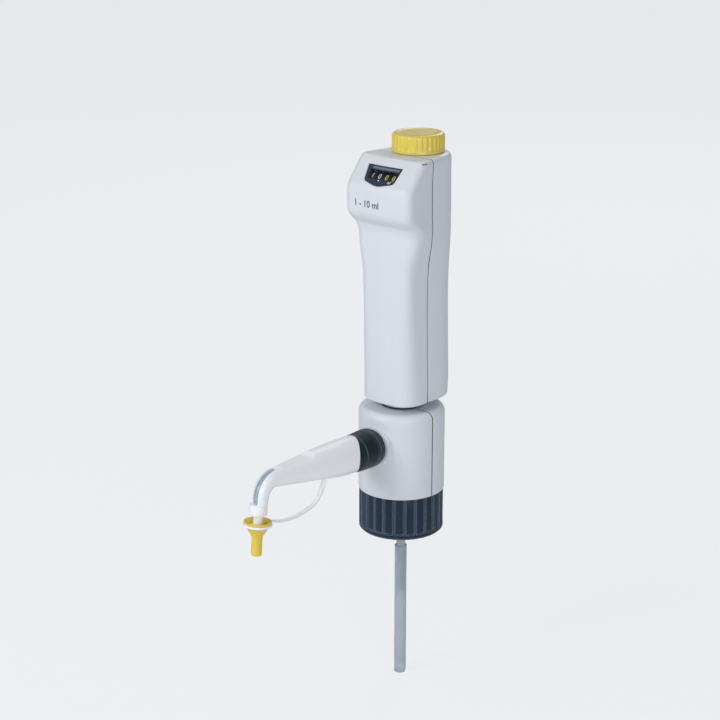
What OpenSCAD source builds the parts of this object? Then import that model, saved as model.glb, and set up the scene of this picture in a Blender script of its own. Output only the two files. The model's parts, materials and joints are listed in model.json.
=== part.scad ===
// Bottle top dispenser: a piston dispenser that screws onto a GL 45 reagent bottle.
// Origin: on the bottle axis, in the plane of the collar's lower rim. +Z is up, the spout points to -Y.

/* [Dispensing] */
// Largest volume that one stroke gives, in millilitres
max_volume_ml = 10; // [5:0.5:10]
// Smallest volume that can be set, in millilitres
min_volume_ml = 1; // [0.5:0.5:2]
// Diameter of the piston
piston_d = 14.6; // [14.4:0.1:15]

/* [Collar] */
// Outside diameter of the screw collar
collar_d = 54; // [52:0.5:54.5]
// Height of the screw collar
collar_h = 27.5; // [26:0.5:27.5]
// Bore of the collar, over the crests of the bottle's thread
collar_bore_d = 45.2; // [44.8:0.1:46]
// Number of grip flutes around the collar
collar_flutes = 24; // [18:1:30]

/* [Valve block] */
// Outside diameter of the valve block's cover
block_d = 55; // [54.6:0.2:57]
// Height of the valve block's top face
block_top_z = 83; // [82:0.5:84]
// Height of the spout's axis where it leaves the block
spout_z = 62; // [61:0.5:63]

/* [Spout] */
// Distance from the bottle axis to the centre of the spout's bend
bend_reach = 118.9; // [112:0.1:124]
// Lean of the spout's tip away from the bottle, in degrees
tip_lean = 4.8; // [2:0.2:6]

/* [Housing] */
// Height of the housing's top face
housing_top_z = 243; // [243:0.5:248]
// Half width of the head
head_half_w = 25.5; // [25:0.5:26.5]
// Half width of the grip at its waist
waist_half_w = 19.8; // [19.6:0.1:21]
// Wall thickness of the housing shells
shell_wall = 2; // [1.6:0.1:2.2]
// Distance of the volume knob's axis behind the bottle axis
knob_back = 14.2; // [14:0.1:15]

/* [Volume knob] */
// Diameter of the knob at its skirt
knob_d = 32.7; // [30:0.1:34]
// Height of the knob
knob_h = 11.4; // [9:0.1:13]
// Number of grip flutes around the knob
knob_flutes = 32; // [24:1:36]

/* [Filling tube] */
// Height of the filling tube's lower end below the collar's rim
tube_reach = 104; // [80:1:110]

/* [Hidden] */
$fn = 64;
eps = 0.01;
gap = 0.3;          // between pieces that move past each other
run = 0.05;         // radial clearance of a running shaft

// Stroke
stroke = max_volume_ml * 1000 / (PI * pow(piston_d / 2, 2));

// Collar and the turning joint under the block
collar_r = collar_d / 2;
flute_depth = 0.8;
flute_share = 0.74;
flute_z = 3.5;
rim_chamfer = 1.2;
spigot_r = 19.97;
flange_z = 21;
ring_top_z = flange_z - gap;
ring_low_z = ring_top_z - 2.3;
seal_low_z = ring_low_z - 2;

// Valve block
block_r = block_d / 2;
block_z = collar_h + 0.1;
block_round = 4.5;
cover_wall = 2;
seam_y = -2.5;
seam_gap = 0.2;
core_r = 13;
core_top_z = 79.5;
core_base_h = 3;
filling_r = 5;
channel_r = 2;
boss_r = 10.4;
boss_len = 31;
boss_ring_r = 13.3;
boss_ring_len = 28.7;
discharge_r = 3.9;
vent_z = 71;
vent_r = 3.5;
screw_r = 1.5;
cover_screw_x = 18;
cover_screw_zs = [40, 70];
cover_head_y = 16;
cover_screw_len = 28;
screw_head_r = 2.6;

// Dispensing cylinder
glass_r = 9.2;
glass_in_r = piston_d / 2 + run;
glass_z = 76;
glass_top_z = glass_z + stroke + 14;
neck_r = 12.5;
neck_top_z = 92;
guard_r = 10.4;
guard_in_r = 9.6;
stop_z = 168;
stop_h = 2.5;

// Filling valve and tubes
tube_r = 3;
tube_in_r = 2.1;
outer_tube_r = 3.9;
filling_low_z = 6;
filling_top_z = 44;
filling_seat_z = 31;
filling_ball_r = 2.5;
ball_gap = 0.02;
upper_tube_z = -46;
lower_tube_z = -14;

// Discharge valve
discharge_seat = 20;
discharge_end = 37;
discharge_ball_r = 2.2;

// Spout, seen from the side: distances from the axis along -Y, heights along Z
sleeve_start = 29;
sleeve_lip = 31;
sleeve_r = 12.4;
sleeve_end_r = 11.6;
arch_r = 14;
arch_centre = 39;
arch_end = arch_centre + arch_r;
spout_gap = 0.3;
spigot_out_r = 10.25;
spout_profile = [    // distance, height, slope and radius along the run up to the bend
    [44, 62.3, 0, 11.6], [60, 62.95, -4, 11.45], [72, 63.95, -5, 10.55],
    [84, 65.05, -4, 9.45], [90, 65.45, -3.5, 8.85], [116, 67.05, -3, 5.95]
];
scoop_start = 81;
land_start = 90.3;
land_z = 72;
bend_r = 10.8;
bend_z = 56.45;
bend_tube_r = 5.65;
drop_r = 4.85;
tip_reach = 131.15;
line_r = 1.6;
line_bend_r = 13.6;
slot_half_w = 1.9;
slot_floor_r = 13.3;
slot_start = 115.6;
end_collar_r = 5.35;
end_collar_z = 47.9;
end_collar_top = 54.4;
tip_r = 2.7;
tip_z = 40.5;

// Cap
cap_r = 8;
cap_top_z = 43.8;
cap_rim_z = 40.9;
cap_mouth_r = 5.6;
cap_floor_z = 41.2;
cap_cone_z = 34.4;
cap_stem_r = 3.4;
cap_low_z = 22.4;
cap_round = 1.2;
cap_bore_z = 38.5;
ring_r = 8.8;
ring_h = 1.5;

// Cap strap, hand-placed points from the spout's underside to the ring
strap_r = 1.25;
strap_route = [
    [73.8, 52.6], [75, 49], [77.6, 44.8], [80.6, 41.6], [84.6, 39.2], [91, 37.6],
    [98, 36.6], [105, 36.6], [112, 37.6], [118, 39], [122.9, 40.7]
];

// Housing: height, half width, front, corner radius and rear radius of each level below the display slope
housing_z = 87.8;
housing_levels = [
    [88.6, waist_half_w + 1.4, 20.5, 13, 21.3],
    [99.5, waist_half_w + 1.1, 20.5, 12.5, 21.7],
    [120, waist_half_w + 0.5, 20.5, 11, 21.3],
    [155, waist_half_w, 20.5, 9, 20.8],
    [166, waist_half_w, 20.5, 8.5, 20.9],
    [176, waist_half_w + 0.8, 20.6, 8.5, 21.25],
    [188, head_half_w - 2, 20, 9, 21.8],
    [195.5, head_half_w - 0.8, 19.6, 9.5, 22],
    [201.5, head_half_w - 0.1, 21, 8, 22],
    [205.5, head_half_w, 25, 6.5, 22],
    [208.5, head_half_w, 27.3, 6, 22]
];
front_curve_r = 40;
front_drop = 0.8;
rear_y = 12;
head_front = 27.3;
head_corner = 6;
head_rear = 21.8;
top_front = 13.2;
brow_z = 225.5;
slope_tilt = atan2(housing_top_z - brow_z, head_front - top_front);
window_top = 6.2;
window_low = 19;
window_half_top = 13.2;
window_half_low = 10.6;
aperture_half = 10.4;
foot_round = 0.8;
edge_r = 3.3;       // round of the top's edge
fold_r = 4;         // round of the fold between the top and the display slope
notch_y = -10;
notch_len = 3.8;
digit_line = 12.2;

// Shell screws: distance across and height of each, and how far back its head sits
shell_screws_at = [[-14.6, 101, 19], [14.6, 101, 19], [-14, 236, 15], [14, 236, 15]];
shell_screw_front = -9;
post_r = 3;

// Set-volume drive
spindle_r = 2.5;
spindle_z = 93.4;
foot_z = 92.8;
nut_h = 6;
nut_front = 11;
nut_rear = 19.6;
nut_half_w = 7;
nut_top_z = stop_z - gap - stroke;
mount_z = 180;
mount_h = 13;
plate_z = 194;
plate_h = 3;
gear_z = 202.5;
gear_h = 4;
tooth_m = 1;
spindle_teeth = 20;
idler_teeth = 17;
drive_teeth = 10;
counter_y = -top_front - digit_line * cos(slope_tilt) + 11 * sin(slope_tilt);
counter_z = housing_top_z - digit_line * sin(slope_tilt) - 11 * cos(slope_tilt);
wheel_r = 8;
wheel_w = 4.8;
wheel_pitch = 5.4;
shaft_r = 1.5;
drive_x = 16.5;
bevel_teeth = 8;
bevel_in = 2.6;
bevel_out = 3.9;

// Volume knob
knob_skirt = 2;
knob_chamfer = 1.5;
flute_r = 1.7;
flute_in = 0.45;

// Places of the gear train, worked out so that neighbours mesh
spindle_at = [0, knob_back];
drive_at = [drive_x, counter_y];
span = norm(drive_at - spindle_at);
mesh_a = tooth_m * (spindle_teeth + idler_teeth) / 2;
mesh_b = tooth_m * (idler_teeth + drive_teeth) / 2;
along = (mesh_a * mesh_a - mesh_b * mesh_b + span * span) / (2 * span);
aside = sqrt(mesh_a * mesh_a - along * along);
train = (drive_at - spindle_at) / span;
idler_at = spindle_at + along * train + aside * [train[1], -train[0]];

function bearing(a, b) = atan2(b[1] - a[1], b[0] - a[0]);
// Turn of a gear whose teeth fall between those of its neighbour
function meshed(turn_a, n_a, n_b, way) = way + 180 - n_a / n_b * (turn_a - way) - 180 / n_b;
idler_turn = meshed(0, spindle_teeth, idler_teeth, bearing(spindle_at, idler_at));
drive_turn = meshed(idler_turn, idler_teeth, drive_teeth, bearing(idler_at, drive_at));

// A ring or tube about Z
module ring(r_out, r_in, z, h) {
    translate([0, 0, z]) difference() {
        cylinder(r = r_out, h = h);
        translate([0, 0, -1]) cylinder(r = r_in, h = h + 2);
    }
}

// A rod along -Y, from one distance in front of the axis to another
module rod_front(r, from, to, z) {
    translate([0, -from, z]) rotate([90, 0, 0]) cylinder(r = r, h = to - from);
}

// Keeps what lies in front of the seam, or behind it
module in_front() {
    intersection() {
        children();
        translate([-100, -200 + seam_y - seam_gap / 2, -50]) cube([200, 200, 400]);
    }
}

module behind() {
    intersection() {
        children();
        translate([-100, seam_y + seam_gap / 2, -50]) cube([200, 200, 400]);
    }
}

// Puts a shape on the display slope: x across, y up the slope, z out of it
module on_slope() {
    translate([0, -top_front, housing_top_z]) rotate([slope_tilt, 0, 0]) children();
}

// A socket screw along -Y, its head's seat at the origin
module screw(length) {
    rotate([90, 0, 0]) translate([0, 0, -eps]) cylinder(r = screw_r - 0.02, h = length);
    rotate([-90, 0, 0]) difference() {
        cylinder(r = screw_head_r, h = 1.9);
        translate([0, 0, 0.8]) cylinder(r = 1.2, h = 2, $fn = 6);
    }
}

// A spur gear with plain trapezoid teeth
module spur(n, turn, h, bore) {
    pitch = tooth_m * n / 2;
    root = pitch - 1.15 * tooth_m;
    tip = pitch + 0.7 * tooth_m;
    outline = [
        for (i = [0 : n - 1], s = [[root, -1.1], [tip, -0.45], [tip, 0.45], [root, 1.1]])
            let (a = turn + 360 * i / n + asin(s[1] * tooth_m / 2 / s[0]))
            s[0] * [cos(a), sin(a)]
    ];
    linear_extrude(h) difference() {
        polygon(outline);
        circle(bore);
    }
}

// One side's teeth of the right-angle gear pair, about Z with its apex at the origin
module bevel(turn) {
    translate([0, 0, -bevel_out - 1.6]) cylinder(r = bevel_out, h = 1.3);
    for (i = [0 : bevel_teeth - 1]) rotate(turn + 360 * i / bevel_teeth)
        translate([bevel_in, -0.3, -bevel_out - 0.8]) cube([bevel_out - bevel_in - 0.2, 0.6, 1.5]);
}

// ---- Collar ----

module bottle_collar() color("#1b2430") {
    flute_w = 2 * collar_r * sin(180 / collar_flutes) * flute_share;
    difference() {
        union() {
            cylinder(r1 = collar_r - rim_chamfer, r2 = collar_r, h = rim_chamfer);
            translate([0, 0, rim_chamfer]) cylinder(r = collar_r, h = flute_z - rim_chamfer);
            translate([0, 0, flute_z]) linear_extrude(collar_h - flute_z) difference() {
                circle(collar_r);
                for (i = [0 : collar_flutes - 1]) rotate(360 * i / collar_flutes)
                    translate([collar_r - flute_depth, -flute_w / 2]) square([3, flute_w]);
            }
        }
        translate([0, 0, -1]) cylinder(r = collar_bore_d / 2, h = flange_z + 1);
        cylinder(r = spigot_r + 0.08, h = 60);
    }
}

// ---- Valve block ----

module cover_form(inset) {
    top = block_top_z - inset;
    r = block_r - inset;
    soft = block_round - inset;
    rotate_extrude() {
        square([r, top - soft - block_z]);
        square([r - soft, top - block_z]);
        translate([r - soft, top - soft - block_z]) intersection() {
            circle(soft);
            square(soft);
        }
    }
}

module cover() {
    difference() {
        union() {
            translate([0, 0, block_z]) difference() {
                cover_form(0);
                translate([0, 0, -1]) cylinder(r = block_r - cover_wall, h = 20);
                translate([0, 0, 1 - eps]) cover_form(cover_wall);
            }
            rod_front(boss_ring_r, block_r - 6, boss_ring_len, spout_z);
            intersection() {
                translate([0, 0, block_z]) cylinder(r = block_r - 1, h = block_top_z - block_z - 3);
                for (x = [-1, 1], z = cover_screw_zs) translate([x * cover_screw_x, cover_head_y + 2, z])
                    rotate([90, 0, 0]) cylinder(r = 3, h = 2 * block_r);
            }
        }
        translate([0, 0, block_z + 20]) cylinder(r = neck_r + gap, h = 60);
        rod_front(boss_r + 0.1, 5, 60, spout_z);
        translate([0, 0, vent_z]) rotate([-90, 0, 0]) cylinder(r = vent_r + 0.1, h = 60);
        cylinder(r = core_r + 0.5, h = block_top_z - 5);
        for (x = [-1, 1], z = cover_screw_zs) translate([x * cover_screw_x, 0, z]) {
            translate([0, cover_head_y, 0]) rotate([90, 0, 0]) cylinder(r = screw_r, h = cover_screw_len);
            translate([0, cover_head_y, 0]) rotate([-90, 0, 0]) cylinder(r = screw_head_r + 0.1, h = 40);
        }
    }
}

module front_cover() color("#e6e8ec") in_front() cover();

module rear_cover() color("#e6e8ec") behind() cover();

module cover_screws() color("#9aa0a6") {
    for (x = [-1, 1], z = cover_screw_zs) translate([x * cover_screw_x, cover_head_y, z]) screw(cover_screw_len);
}

module valve_core() color("#dcdfe2") difference() {
    union() {
        translate([0, 0, ring_low_z]) cylinder(r = spigot_r, h = block_z + 0.2 - ring_low_z);
        translate([0, 0, block_z + 0.2]) cylinder(r = block_r - cover_wall - 0.3, h = core_base_h);
        translate([0, 0, block_z]) cylinder(r = core_r, h = core_top_z - block_z);
        rod_front(boss_r, 8, boss_len, spout_z);
        translate([0, 8, vent_z]) rotate([-90, 0, 0]) cylinder(r = vent_r, h = block_r - 9);
    }
    translate([0, 0, ring_low_z - 1]) cylinder(r = filling_r, h = filling_top_z + 1 - ring_low_z + 1);
    cylinder(r = channel_r, h = 100);
    translate([0, 0, glass_z]) cylinder(r = glass_r + 0.02, h = 20);
    rod_front(discharge_r, discharge_seat - 5, 60, spout_z);
    rod_front(channel_r, 0, 40, spout_z);
    translate([0, 14, vent_z]) rotate([-90, 0, 0]) cylinder(r = 1, h = 60);
    translate([0, 14.5, 0]) cylinder(r = 1, h = vent_z);
}

module retaining_ring() color("#3a4048") ring(22.2, spigot_r + 0.01, ring_low_z, ring_top_z - ring_low_z);

module seal_washer() color("#f4f4f0") ring(22.2, 8, seal_low_z, ring_low_z - seal_low_z);

module filling_valve() color("#cfd4d8") difference() {
    union() {
        translate([0, 0, filling_low_z]) cylinder(r = filling_r - 0.02, h = filling_top_z - filling_low_z);
        translate([0, 0, seal_low_z - 4]) cylinder(r = 7, h = 4, $fn = 6);
    }
    translate([0, 0, filling_low_z - 1]) cylinder(r = tube_r + 0.02, h = 9);
    translate([0, 0, filling_low_z]) cylinder(r = 1.6, h = 40);
    translate([0, 0, filling_seat_z]) cylinder(r = filling_ball_r + 0.6, h = 20);
}

module filling_ball() color("#8c3a3a")
    translate([0, 0, filling_seat_z + filling_ball_r + ball_gap]) sphere(r = filling_ball_r);

module discharge_valve() color("#cfd4d8") difference() {
    rod_front(discharge_r - 0.02, discharge_seat - 4, discharge_end, spout_z);
    rod_front(1.4, 10, discharge_end - 3.6, spout_z);
    rod_front(discharge_ball_r + 0.5, discharge_seat, discharge_end - 8, spout_z);
    line_path(line_r + 0.1);
}

module discharge_ball() color("#8c3a3a")
    translate([0, -discharge_seat - discharge_ball_r - ball_gap, spout_z]) sphere(r = discharge_ball_r);

module vent_cap() color("#e6e8ec") translate([0, block_r + 0.1, vent_z]) rotate([-90, 0, 0]) {
    cylinder(r = 4.6, h = 3.4);
    translate([0, 0, 3.4]) cylinder(r1 = 4.6, r2 = 3.8, h = 0.8);
    translate([0, 0, -6]) cylinder(r = 0.98, h = 6);
}

module cylinder_nut() color("#c9ced4")
    ring(neck_r, guard_r + 0.02, core_top_z + 0.02, neck_top_z - core_top_z);

module neck_seal() color("#2a2f36") ring(neck_r + 0.25, neck_r + 0.01, block_top_z + 0.05, 0.9);

module glass_cylinder() color("#dfeef2", 0.5) ring(glass_r, glass_in_r, glass_z + 0.02, glass_top_z - glass_z);

module guard_tube() color("#d5dade", 0.7) ring(guard_r, guard_in_r, core_top_z + 0.02, stop_z - core_top_z);

module stop_plate() color("#9aa0a6") translate([0, 0, stop_z + 0.02]) linear_extrude(stop_h) difference() {
    union() {
        circle(guard_r);
        translate([-nut_half_w, 0]) square([2 * nut_half_w, knob_back + 5]);
    }
    circle(guard_in_r - 1);
    translate([-spindle_r - 0.6, knob_back - spindle_r - 0.6]) square([2 * spindle_r + 1.2, 20]);
}

// ---- Spout ----

// Fills the space up to the arched joint between sleeve and spout
module arch(grow) {
    translate([0, -arch_centre, spout_z]) rotate([0, 90, 0]) cylinder(r = arch_r + grow, h = 40, center = true);
    translate([-20, -arch_centre, spout_z - arch_r - grow])
        cube([40, arch_centre - sleeve_start + 1, 2 * (arch_r + grow)]);
}

module spout_sleeve() color("#1b2430") intersection() {
    translate([0, 0, spout_z]) rotate([90, 0, 0]) rotate_extrude() polygon([
        [boss_r + 0.02, sleeve_start + 0.1], [sleeve_r - 1.1, sleeve_start + 0.1], [sleeve_r - 1.1, sleeve_lip - 0.2],
        [sleeve_r - 0.4, sleeve_lip], [sleeve_r, sleeve_lip + 2], [sleeve_r, sleeve_lip + 2.6],
        [sleeve_r - 0.4, sleeve_lip + 2.8], [sleeve_r - 0.4, sleeve_lip + 3.4], [sleeve_r, sleeve_lip + 3.6],
        [sleeve_end_r, arch_end + 1], [boss_r + 0.02, arch_end + 1]
    ]);
    arch(0);
}

// Carries what lies beyond the bend, which leans away from the bottle
module at_tip() {
    translate([0, -tip_reach, bend_z]) rotate([-tip_lean, 0, 0]) translate([0, 0, -bend_z]) children();
}

// A round shape swept through stations in the plane x = 0: distance, height, downward slope and radius of each
module sweep(stations, sides) {
    last = len(stations) - 1;
    points = [for (at = stations, k = [0 : sides - 1])
        let (t = 360 * k / sides, out = at[3] * cos(t))
        [at[3] * sin(t), -at[0] - out * sin(at[2]), at[1] + out * cos(at[2])]];
    walls = [for (i = [0 : last - 1], k = [0 : sides - 1])
        let (n = (k + 1) % sides) [i * sides + k, i * sides + n, (i + 1) * sides + n, (i + 1) * sides + k]];
    polyhedron(points, concat(
        walls,
        [[for (k = [sides - 1 : -1 : 0]) k]],
        [[for (k = [0 : sides - 1]) last * sides + k]]
    ));
}

// A round cord of one radius along a route of distances and heights
module cord(route, r, sides) {
    last = len(route) - 1;
    sweep([for (i = [0 : last])
        let (way = route[min(i + 1, last)] - route[max(i - 1, 0)])
        [route[i][0], route[i][1], atan2(-way[1], way[0]), r]], sides);
}

// A place on a quarter circle about the centre of the bend, 0 where the run ends and 90 where the drop starts
function on_bend(a, r) = [bend_reach + r * sin(a), bend_z + r * cos(a)];

// The liquid line from the discharge valve, up the spout and round its bend, as a solid of the given radius
module line_path(r) {
    cord(concat(
        [[discharge_end - 4, spout_z]],
        [for (a = [0 : 9 : 90]) on_bend(a, line_bend_r)],
        [[tip_reach + (bend_z - end_collar_z) * tan(tip_lean), end_collar_z - 2]]
    ), r, 20);
}

// The spout's outside: the tapered run, the bend and the short drop into the end collar
module spout_body() {
    sweep(concat(
        spout_profile,
        [for (a = [0 : 15 : 90])
            let (at = on_bend(a, bend_r)) [at[0], at[1], a, bend_tube_r + (drop_r - bend_tube_r) * a / 90]],
        [[tip_reach - 0.6, end_collar_top - 1.4, 90 - tip_lean, drop_r - 0.15]]
    ), 32);
}

module spout() color("#e9ebef") difference() {
    union() {
        rod_front(spigot_out_r, boss_len + 0.1, arch_end + 2, spout_z);
        difference() {
            spout_body();
            arch(spout_gap);
        }
        at_tip() translate([0, 0, end_collar_z]) cylinder(r = end_collar_r, h = end_collar_top - end_collar_z);
    }
    // Flat land on top, reached down a scoop
    translate([15, 0, 0]) rotate([90, 0, -90]) linear_extrude(30) polygon([
        [scoop_start, land_z + 4], [scoop_start + 5, land_z + 2.2], [land_start - 1.2, land_z + 0.4],
        [land_start, land_z], [bend_reach + 0.5, land_z], [bend_reach + 0.5, land_z + 6], [scoop_start, land_z + 6]
    ]);
    line_path(line_r + 0.25);
    rod_front(discharge_r + 0.1, boss_len - 1, discharge_end + 1, spout_z);
    // Slot that shows the liquid line around the bend
    translate([slot_half_w, 0, 0]) rotate([90, 0, -90]) linear_extrude(2 * slot_half_w) polygon(concat(
        [[slot_start, bend_z + slot_floor_r]],
        [for (a = [0 : 9 : 90]) on_bend(a, slot_floor_r)],
        [[bend_reach + slot_floor_r, end_collar_top], [bend_reach + 30, end_collar_top],
            [bend_reach + 30, bend_z + 30], [slot_start, bend_z + 30]]
    ));
    at_tip() translate([0, 0, end_collar_z - 1]) cylinder(r = tip_r + 0.02, h = 4);
    translate([0, -strap_route[0][0], strap_route[0][1] - 1]) cylinder(r = strap_r + 0.02, h = 4);
}

module discharge_tube() color("#8fa3b5") line_path(line_r);

module spout_tip() color("#e9ebef") difference() {
    at_tip() translate([0, 0, tip_z]) cylinder(r = tip_r, h = end_collar_z + 2.9 - tip_z);
    at_tip() translate([0, 0, tip_z - 1]) cylinder(r = 1, h = 30);
    line_path(line_r + 0.1);
}

// ---- Cap ----

module nozzle_cap() color("#f2c21a") at_tip() rotate_extrude() difference() {
    union() {
        translate([0, cap_low_z + cap_round]) square([cap_stem_r, cap_cone_z - cap_low_z - cap_round]);
        translate([0, cap_low_z]) square([cap_stem_r - cap_round, cap_round + eps]);
        translate([cap_stem_r - cap_round, cap_low_z + cap_round]) intersection() {
            circle(cap_round);
            translate([0, -cap_round]) square(cap_round);
        }
        polygon([[0, cap_cone_z - eps], [cap_stem_r, cap_cone_z - eps], [7.3, cap_rim_z], [cap_r, cap_rim_z],
            [cap_r, cap_top_z], [0, cap_top_z]]);
    }
    translate([0, cap_bore_z]) square([tip_r + 0.1, 10]);
    polygon([[0, cap_floor_z], [cap_mouth_r, cap_floor_z], [cap_mouth_r, cap_floor_z + 1.1], [cap_r - 0.5, cap_top_z + eps],
        [0, cap_top_z + eps]]);
    translate([0, cap_low_z - 1]) square([cap_stem_r - 1.1, 9]);
}

module strap_ring() color("#e9ebef") at_tip() ring(ring_r, cap_r + 0.02, cap_rim_z + 0.02, ring_h);

module cap_strap() color("#dfe6ea") cord(strap_route, strap_r, 8);

// ---- Filling tubes ----

module upper_tube() color("#e8eef0", 0.6) ring(tube_r, tube_in_r, upper_tube_z, filling_low_z + 7.5 - upper_tube_z);

module lower_tube() color("#e8eef0", 0.6) difference() {
    ring(outer_tube_r, tube_r + run, -tube_reach, lower_tube_z + tube_reach);
    translate([0, 0, -tube_reach]) rotate([45, 0, 0]) translate([-10, -10, -20]) cube(20);
}

// ---- Housing ----

function polar(a) = [cos(a), sin(a)];

// Right half of the housing's outline seen from above: three arcs joined by their common tangents
function half_outline(half_w, front, corner, rear, inset) =
    let (
        front_at = [0, front_curve_r - front],
        corner_at = [half_w - corner, corner - front + front_drop],
        rear_at = [0, rear_y],
        to_front = corner_at - front_at,
        to_rear = corner_at - rear_at,
        a = atan2(to_front[1], to_front[0]) - acos((front_curve_r - corner) / norm(to_front)),
        b = atan2(to_rear[1], to_rear[0]) + acos((rear - corner) / norm(to_rear))
    )
    concat(
        [for (i = [0 : 3]) front_at + (front_curve_r - inset) * polar(-90 + (a + 90) * i / 3)],
        [for (i = [0 : 7]) corner_at + (corner - inset) * polar(a + (b - a) * i / 7)],
        [for (i = [0 : 11]) rear_at + (rear - inset) * polar(b + (90 - b) * i / 11)]
    );

function outline(half) = concat(half, [for (i = [len(half) - 2 : -1 : 1]) [-half[i][0], half[i][1]]]);

// How far forward the housing reaches at a depth below its top face
function crown_front(depth) =
    let (cut = fold_r * tan(slope_tilt / 2))
    depth < cut * sin(slope_tilt)
        ? top_front - cut + sqrt(2 * fold_r * depth - depth * depth)
        : top_front + depth / tan(slope_tilt);

// All levels of the housing, drawn in by an inset: height and outline of each
function levels(inset) = concat(
    inset == 0 ? [level(housing_z, housing_levels[0], foot_round)] : [level(housing_z + inset, housing_levels[0], inset)],
    [for (i = [inset == 0 ? 0 : 1 : len(housing_levels) - 1]) level(housing_levels[i][0], housing_levels[i], inset)],
    [level(brow_z - inset * tan(45 - slope_tilt / 2), [0, head_half_w, head_front, head_corner, head_rear], inset)],
    [for (a = [0 : 22.5 : 90])
        let (depth = edge_r * (1 - sin(a)), drawn = edge_r * (1 - cos(a)))
        level(housing_top_z - inset - depth,
            [0, head_half_w - 0.3, crown_front(depth) + inset * (1 - tan(slope_tilt / 2)) + drawn, head_corner, head_rear],
            inset + drawn)]
);

function level(z, at, inset) = [z, outline(half_outline(at[1], at[2], at[3], at[4], inset))];

module housing_form(inset) {
    rings = levels(inset);
    n = len(rings[0][1]);
    last = len(rings) - 1;
    polyhedron(
        [for (ring = rings, p = ring[1]) [p[0], p[1], ring[0]]],
        concat(
            [for (i = [0 : last - 1], k = [0 : n - 1]) let (m = (k + 1) % n) [i * n + m, i * n + k, (i + 1) * n + k]],
            [for (i = [0 : last - 1], k = [0 : n - 1]) let (m = (k + 1) % n) [i * n + m, (i + 1) * n + k, (i + 1) * n + m]],
            [[for (k = [0 : n - 1]) k]],
            [[for (k = [n - 1 : -1 : 0]) last * n + k]]
        )
    );
}

module screw_posts(r, from, to) {
    for (at = shell_screws_at) translate([at[0], to, at[1]]) rotate([90, 0, 0]) cylinder(r = r, h = to - from);
}

module window_outline(grow) {
    hull() {
        translate([-window_half_top - grow, -window_top - 1 + grow]) square([2 * window_half_top + 2 * grow, 1]);
        for (x = [-1, 1]) translate([x * (window_half_low - 2), -window_low + 4.6]) circle(2 + grow, $fn = 32);
        translate([0, -window_low + 9]) circle(9 + grow, $fn = 48);
    }
}

module shells() {
    difference() {
        union() {
            difference() {
                housing_form(0);
                housing_form(shell_wall);
            }
            intersection() {
                housing_form(shell_wall / 4);
                screw_posts(post_r, -head_front, rear_y + 14);
            }
        }
        translate([0, 0, housing_z - 1]) cylinder(r = neck_r + 0.7, h = 10);
        screw_posts(screw_r, shell_screw_front, 60);
        for (at = shell_screws_at)
            translate([at[0], at[2], at[1]]) rotate([-90, 0, 0]) cylinder(r = screw_head_r + 0.1, h = 40);
        translate([0, knob_back, housing_top_z - 10]) cylinder(r = 5, h = 20);
    }
}

module front_shell() color("#eceef2") difference() {
    in_front() shells();
    on_slope() translate([0, 0, -8]) linear_extrude(12) window_outline(0.1);
    translate([head_half_w - edge_r, notch_y, housing_top_z - edge_r]) cube([edge_r, notch_len, 0.9]);
}

module rear_shell() color("#eceef2") behind() shells();

module shell_screws() color("#9aa0a6") for (at = shell_screws_at)
    translate([at[0], at[2], at[1]]) screw(at[2] - shell_screw_front);

module display_bezel() color("#26323f") on_slope() difference() {
    translate([0, 0, -2]) linear_extrude(2.1) window_outline(0);
    translate([-aperture_half, -digit_line - 2.9, -3]) cube([2 * aperture_half, 5.8, 5]);
}

module display_lens() color("#cfe0ea", 0.35) on_slope() translate([-aperture_half + 0.02, -digit_line - 2.88, -1.2])
    cube([2 * aperture_half - 0.04, 5.76, 1]);

// ---- Piston ----

module piston() color("#f2f2ee") {
    translate([0, 0, core_top_z + 1]) cylinder(r = piston_d / 2 - 0.4, h = 3);
    translate([0, 0, core_top_z + 4 - eps]) cylinder(r = piston_d / 2 - 1.2, h = 6);
    translate([0, 0, core_top_z + 10 - 2 * eps]) cylinder(r = 4.2, h = mount_z + 9 - core_top_z - 10);
}

module piston_seal() color("#f8f8f4")
    ring(piston_d / 2, piston_d / 2 - 1.18, core_top_z + 4.2, 5.4);

module piston_mount() color("#6f7a86") difference() {
    translate([0, 0, mount_z]) union() {
        cylinder(r = 11, h = mount_h);
        translate([-18.6, -6, 0]) cube([37.2, 14, mount_h]);
        translate([-8, 4, 0]) cube([16, knob_back + 3, mount_h]);
    }
    translate([0, 0, mount_z - 1]) cylinder(r = 4.22, h = 10.1);
    translate([0, knob_back, mount_z - 1]) cylinder(r = spindle_r + run, h = mount_h + 2);
}

// ---- Set-volume drive ----

module gear_plate() color("#aab2b8") difference() {
    union() {
        translate([-17, -15, plate_z]) cube([35.6, 29.5, plate_h]);
        translate([0, knob_back, plate_z]) cylinder(r = 11, h = plate_h);
        translate([0, 0, mount_z + mount_h + 0.02]) cylinder(r = 11, h = plate_z - mount_z - mount_h);
        translate([idler_at[0], idler_at[1], plate_z]) cylinder(r = shaft_r, h = gear_z + gear_h + 1 - plate_z);
        translate([idler_at[0], idler_at[1], plate_z]) cylinder(r = 3, h = gear_z - gap - plate_z);
    }
    translate([0, knob_back, plate_z - 5]) cylinder(r = spindle_r + run, h = 20);
    translate([drive_at[0], drive_at[1], plate_z - 5]) cylinder(r = shaft_r + run, h = 20);
    translate([0, 0, mount_z]) cylinder(r = 4.4, h = 40);
}

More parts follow.
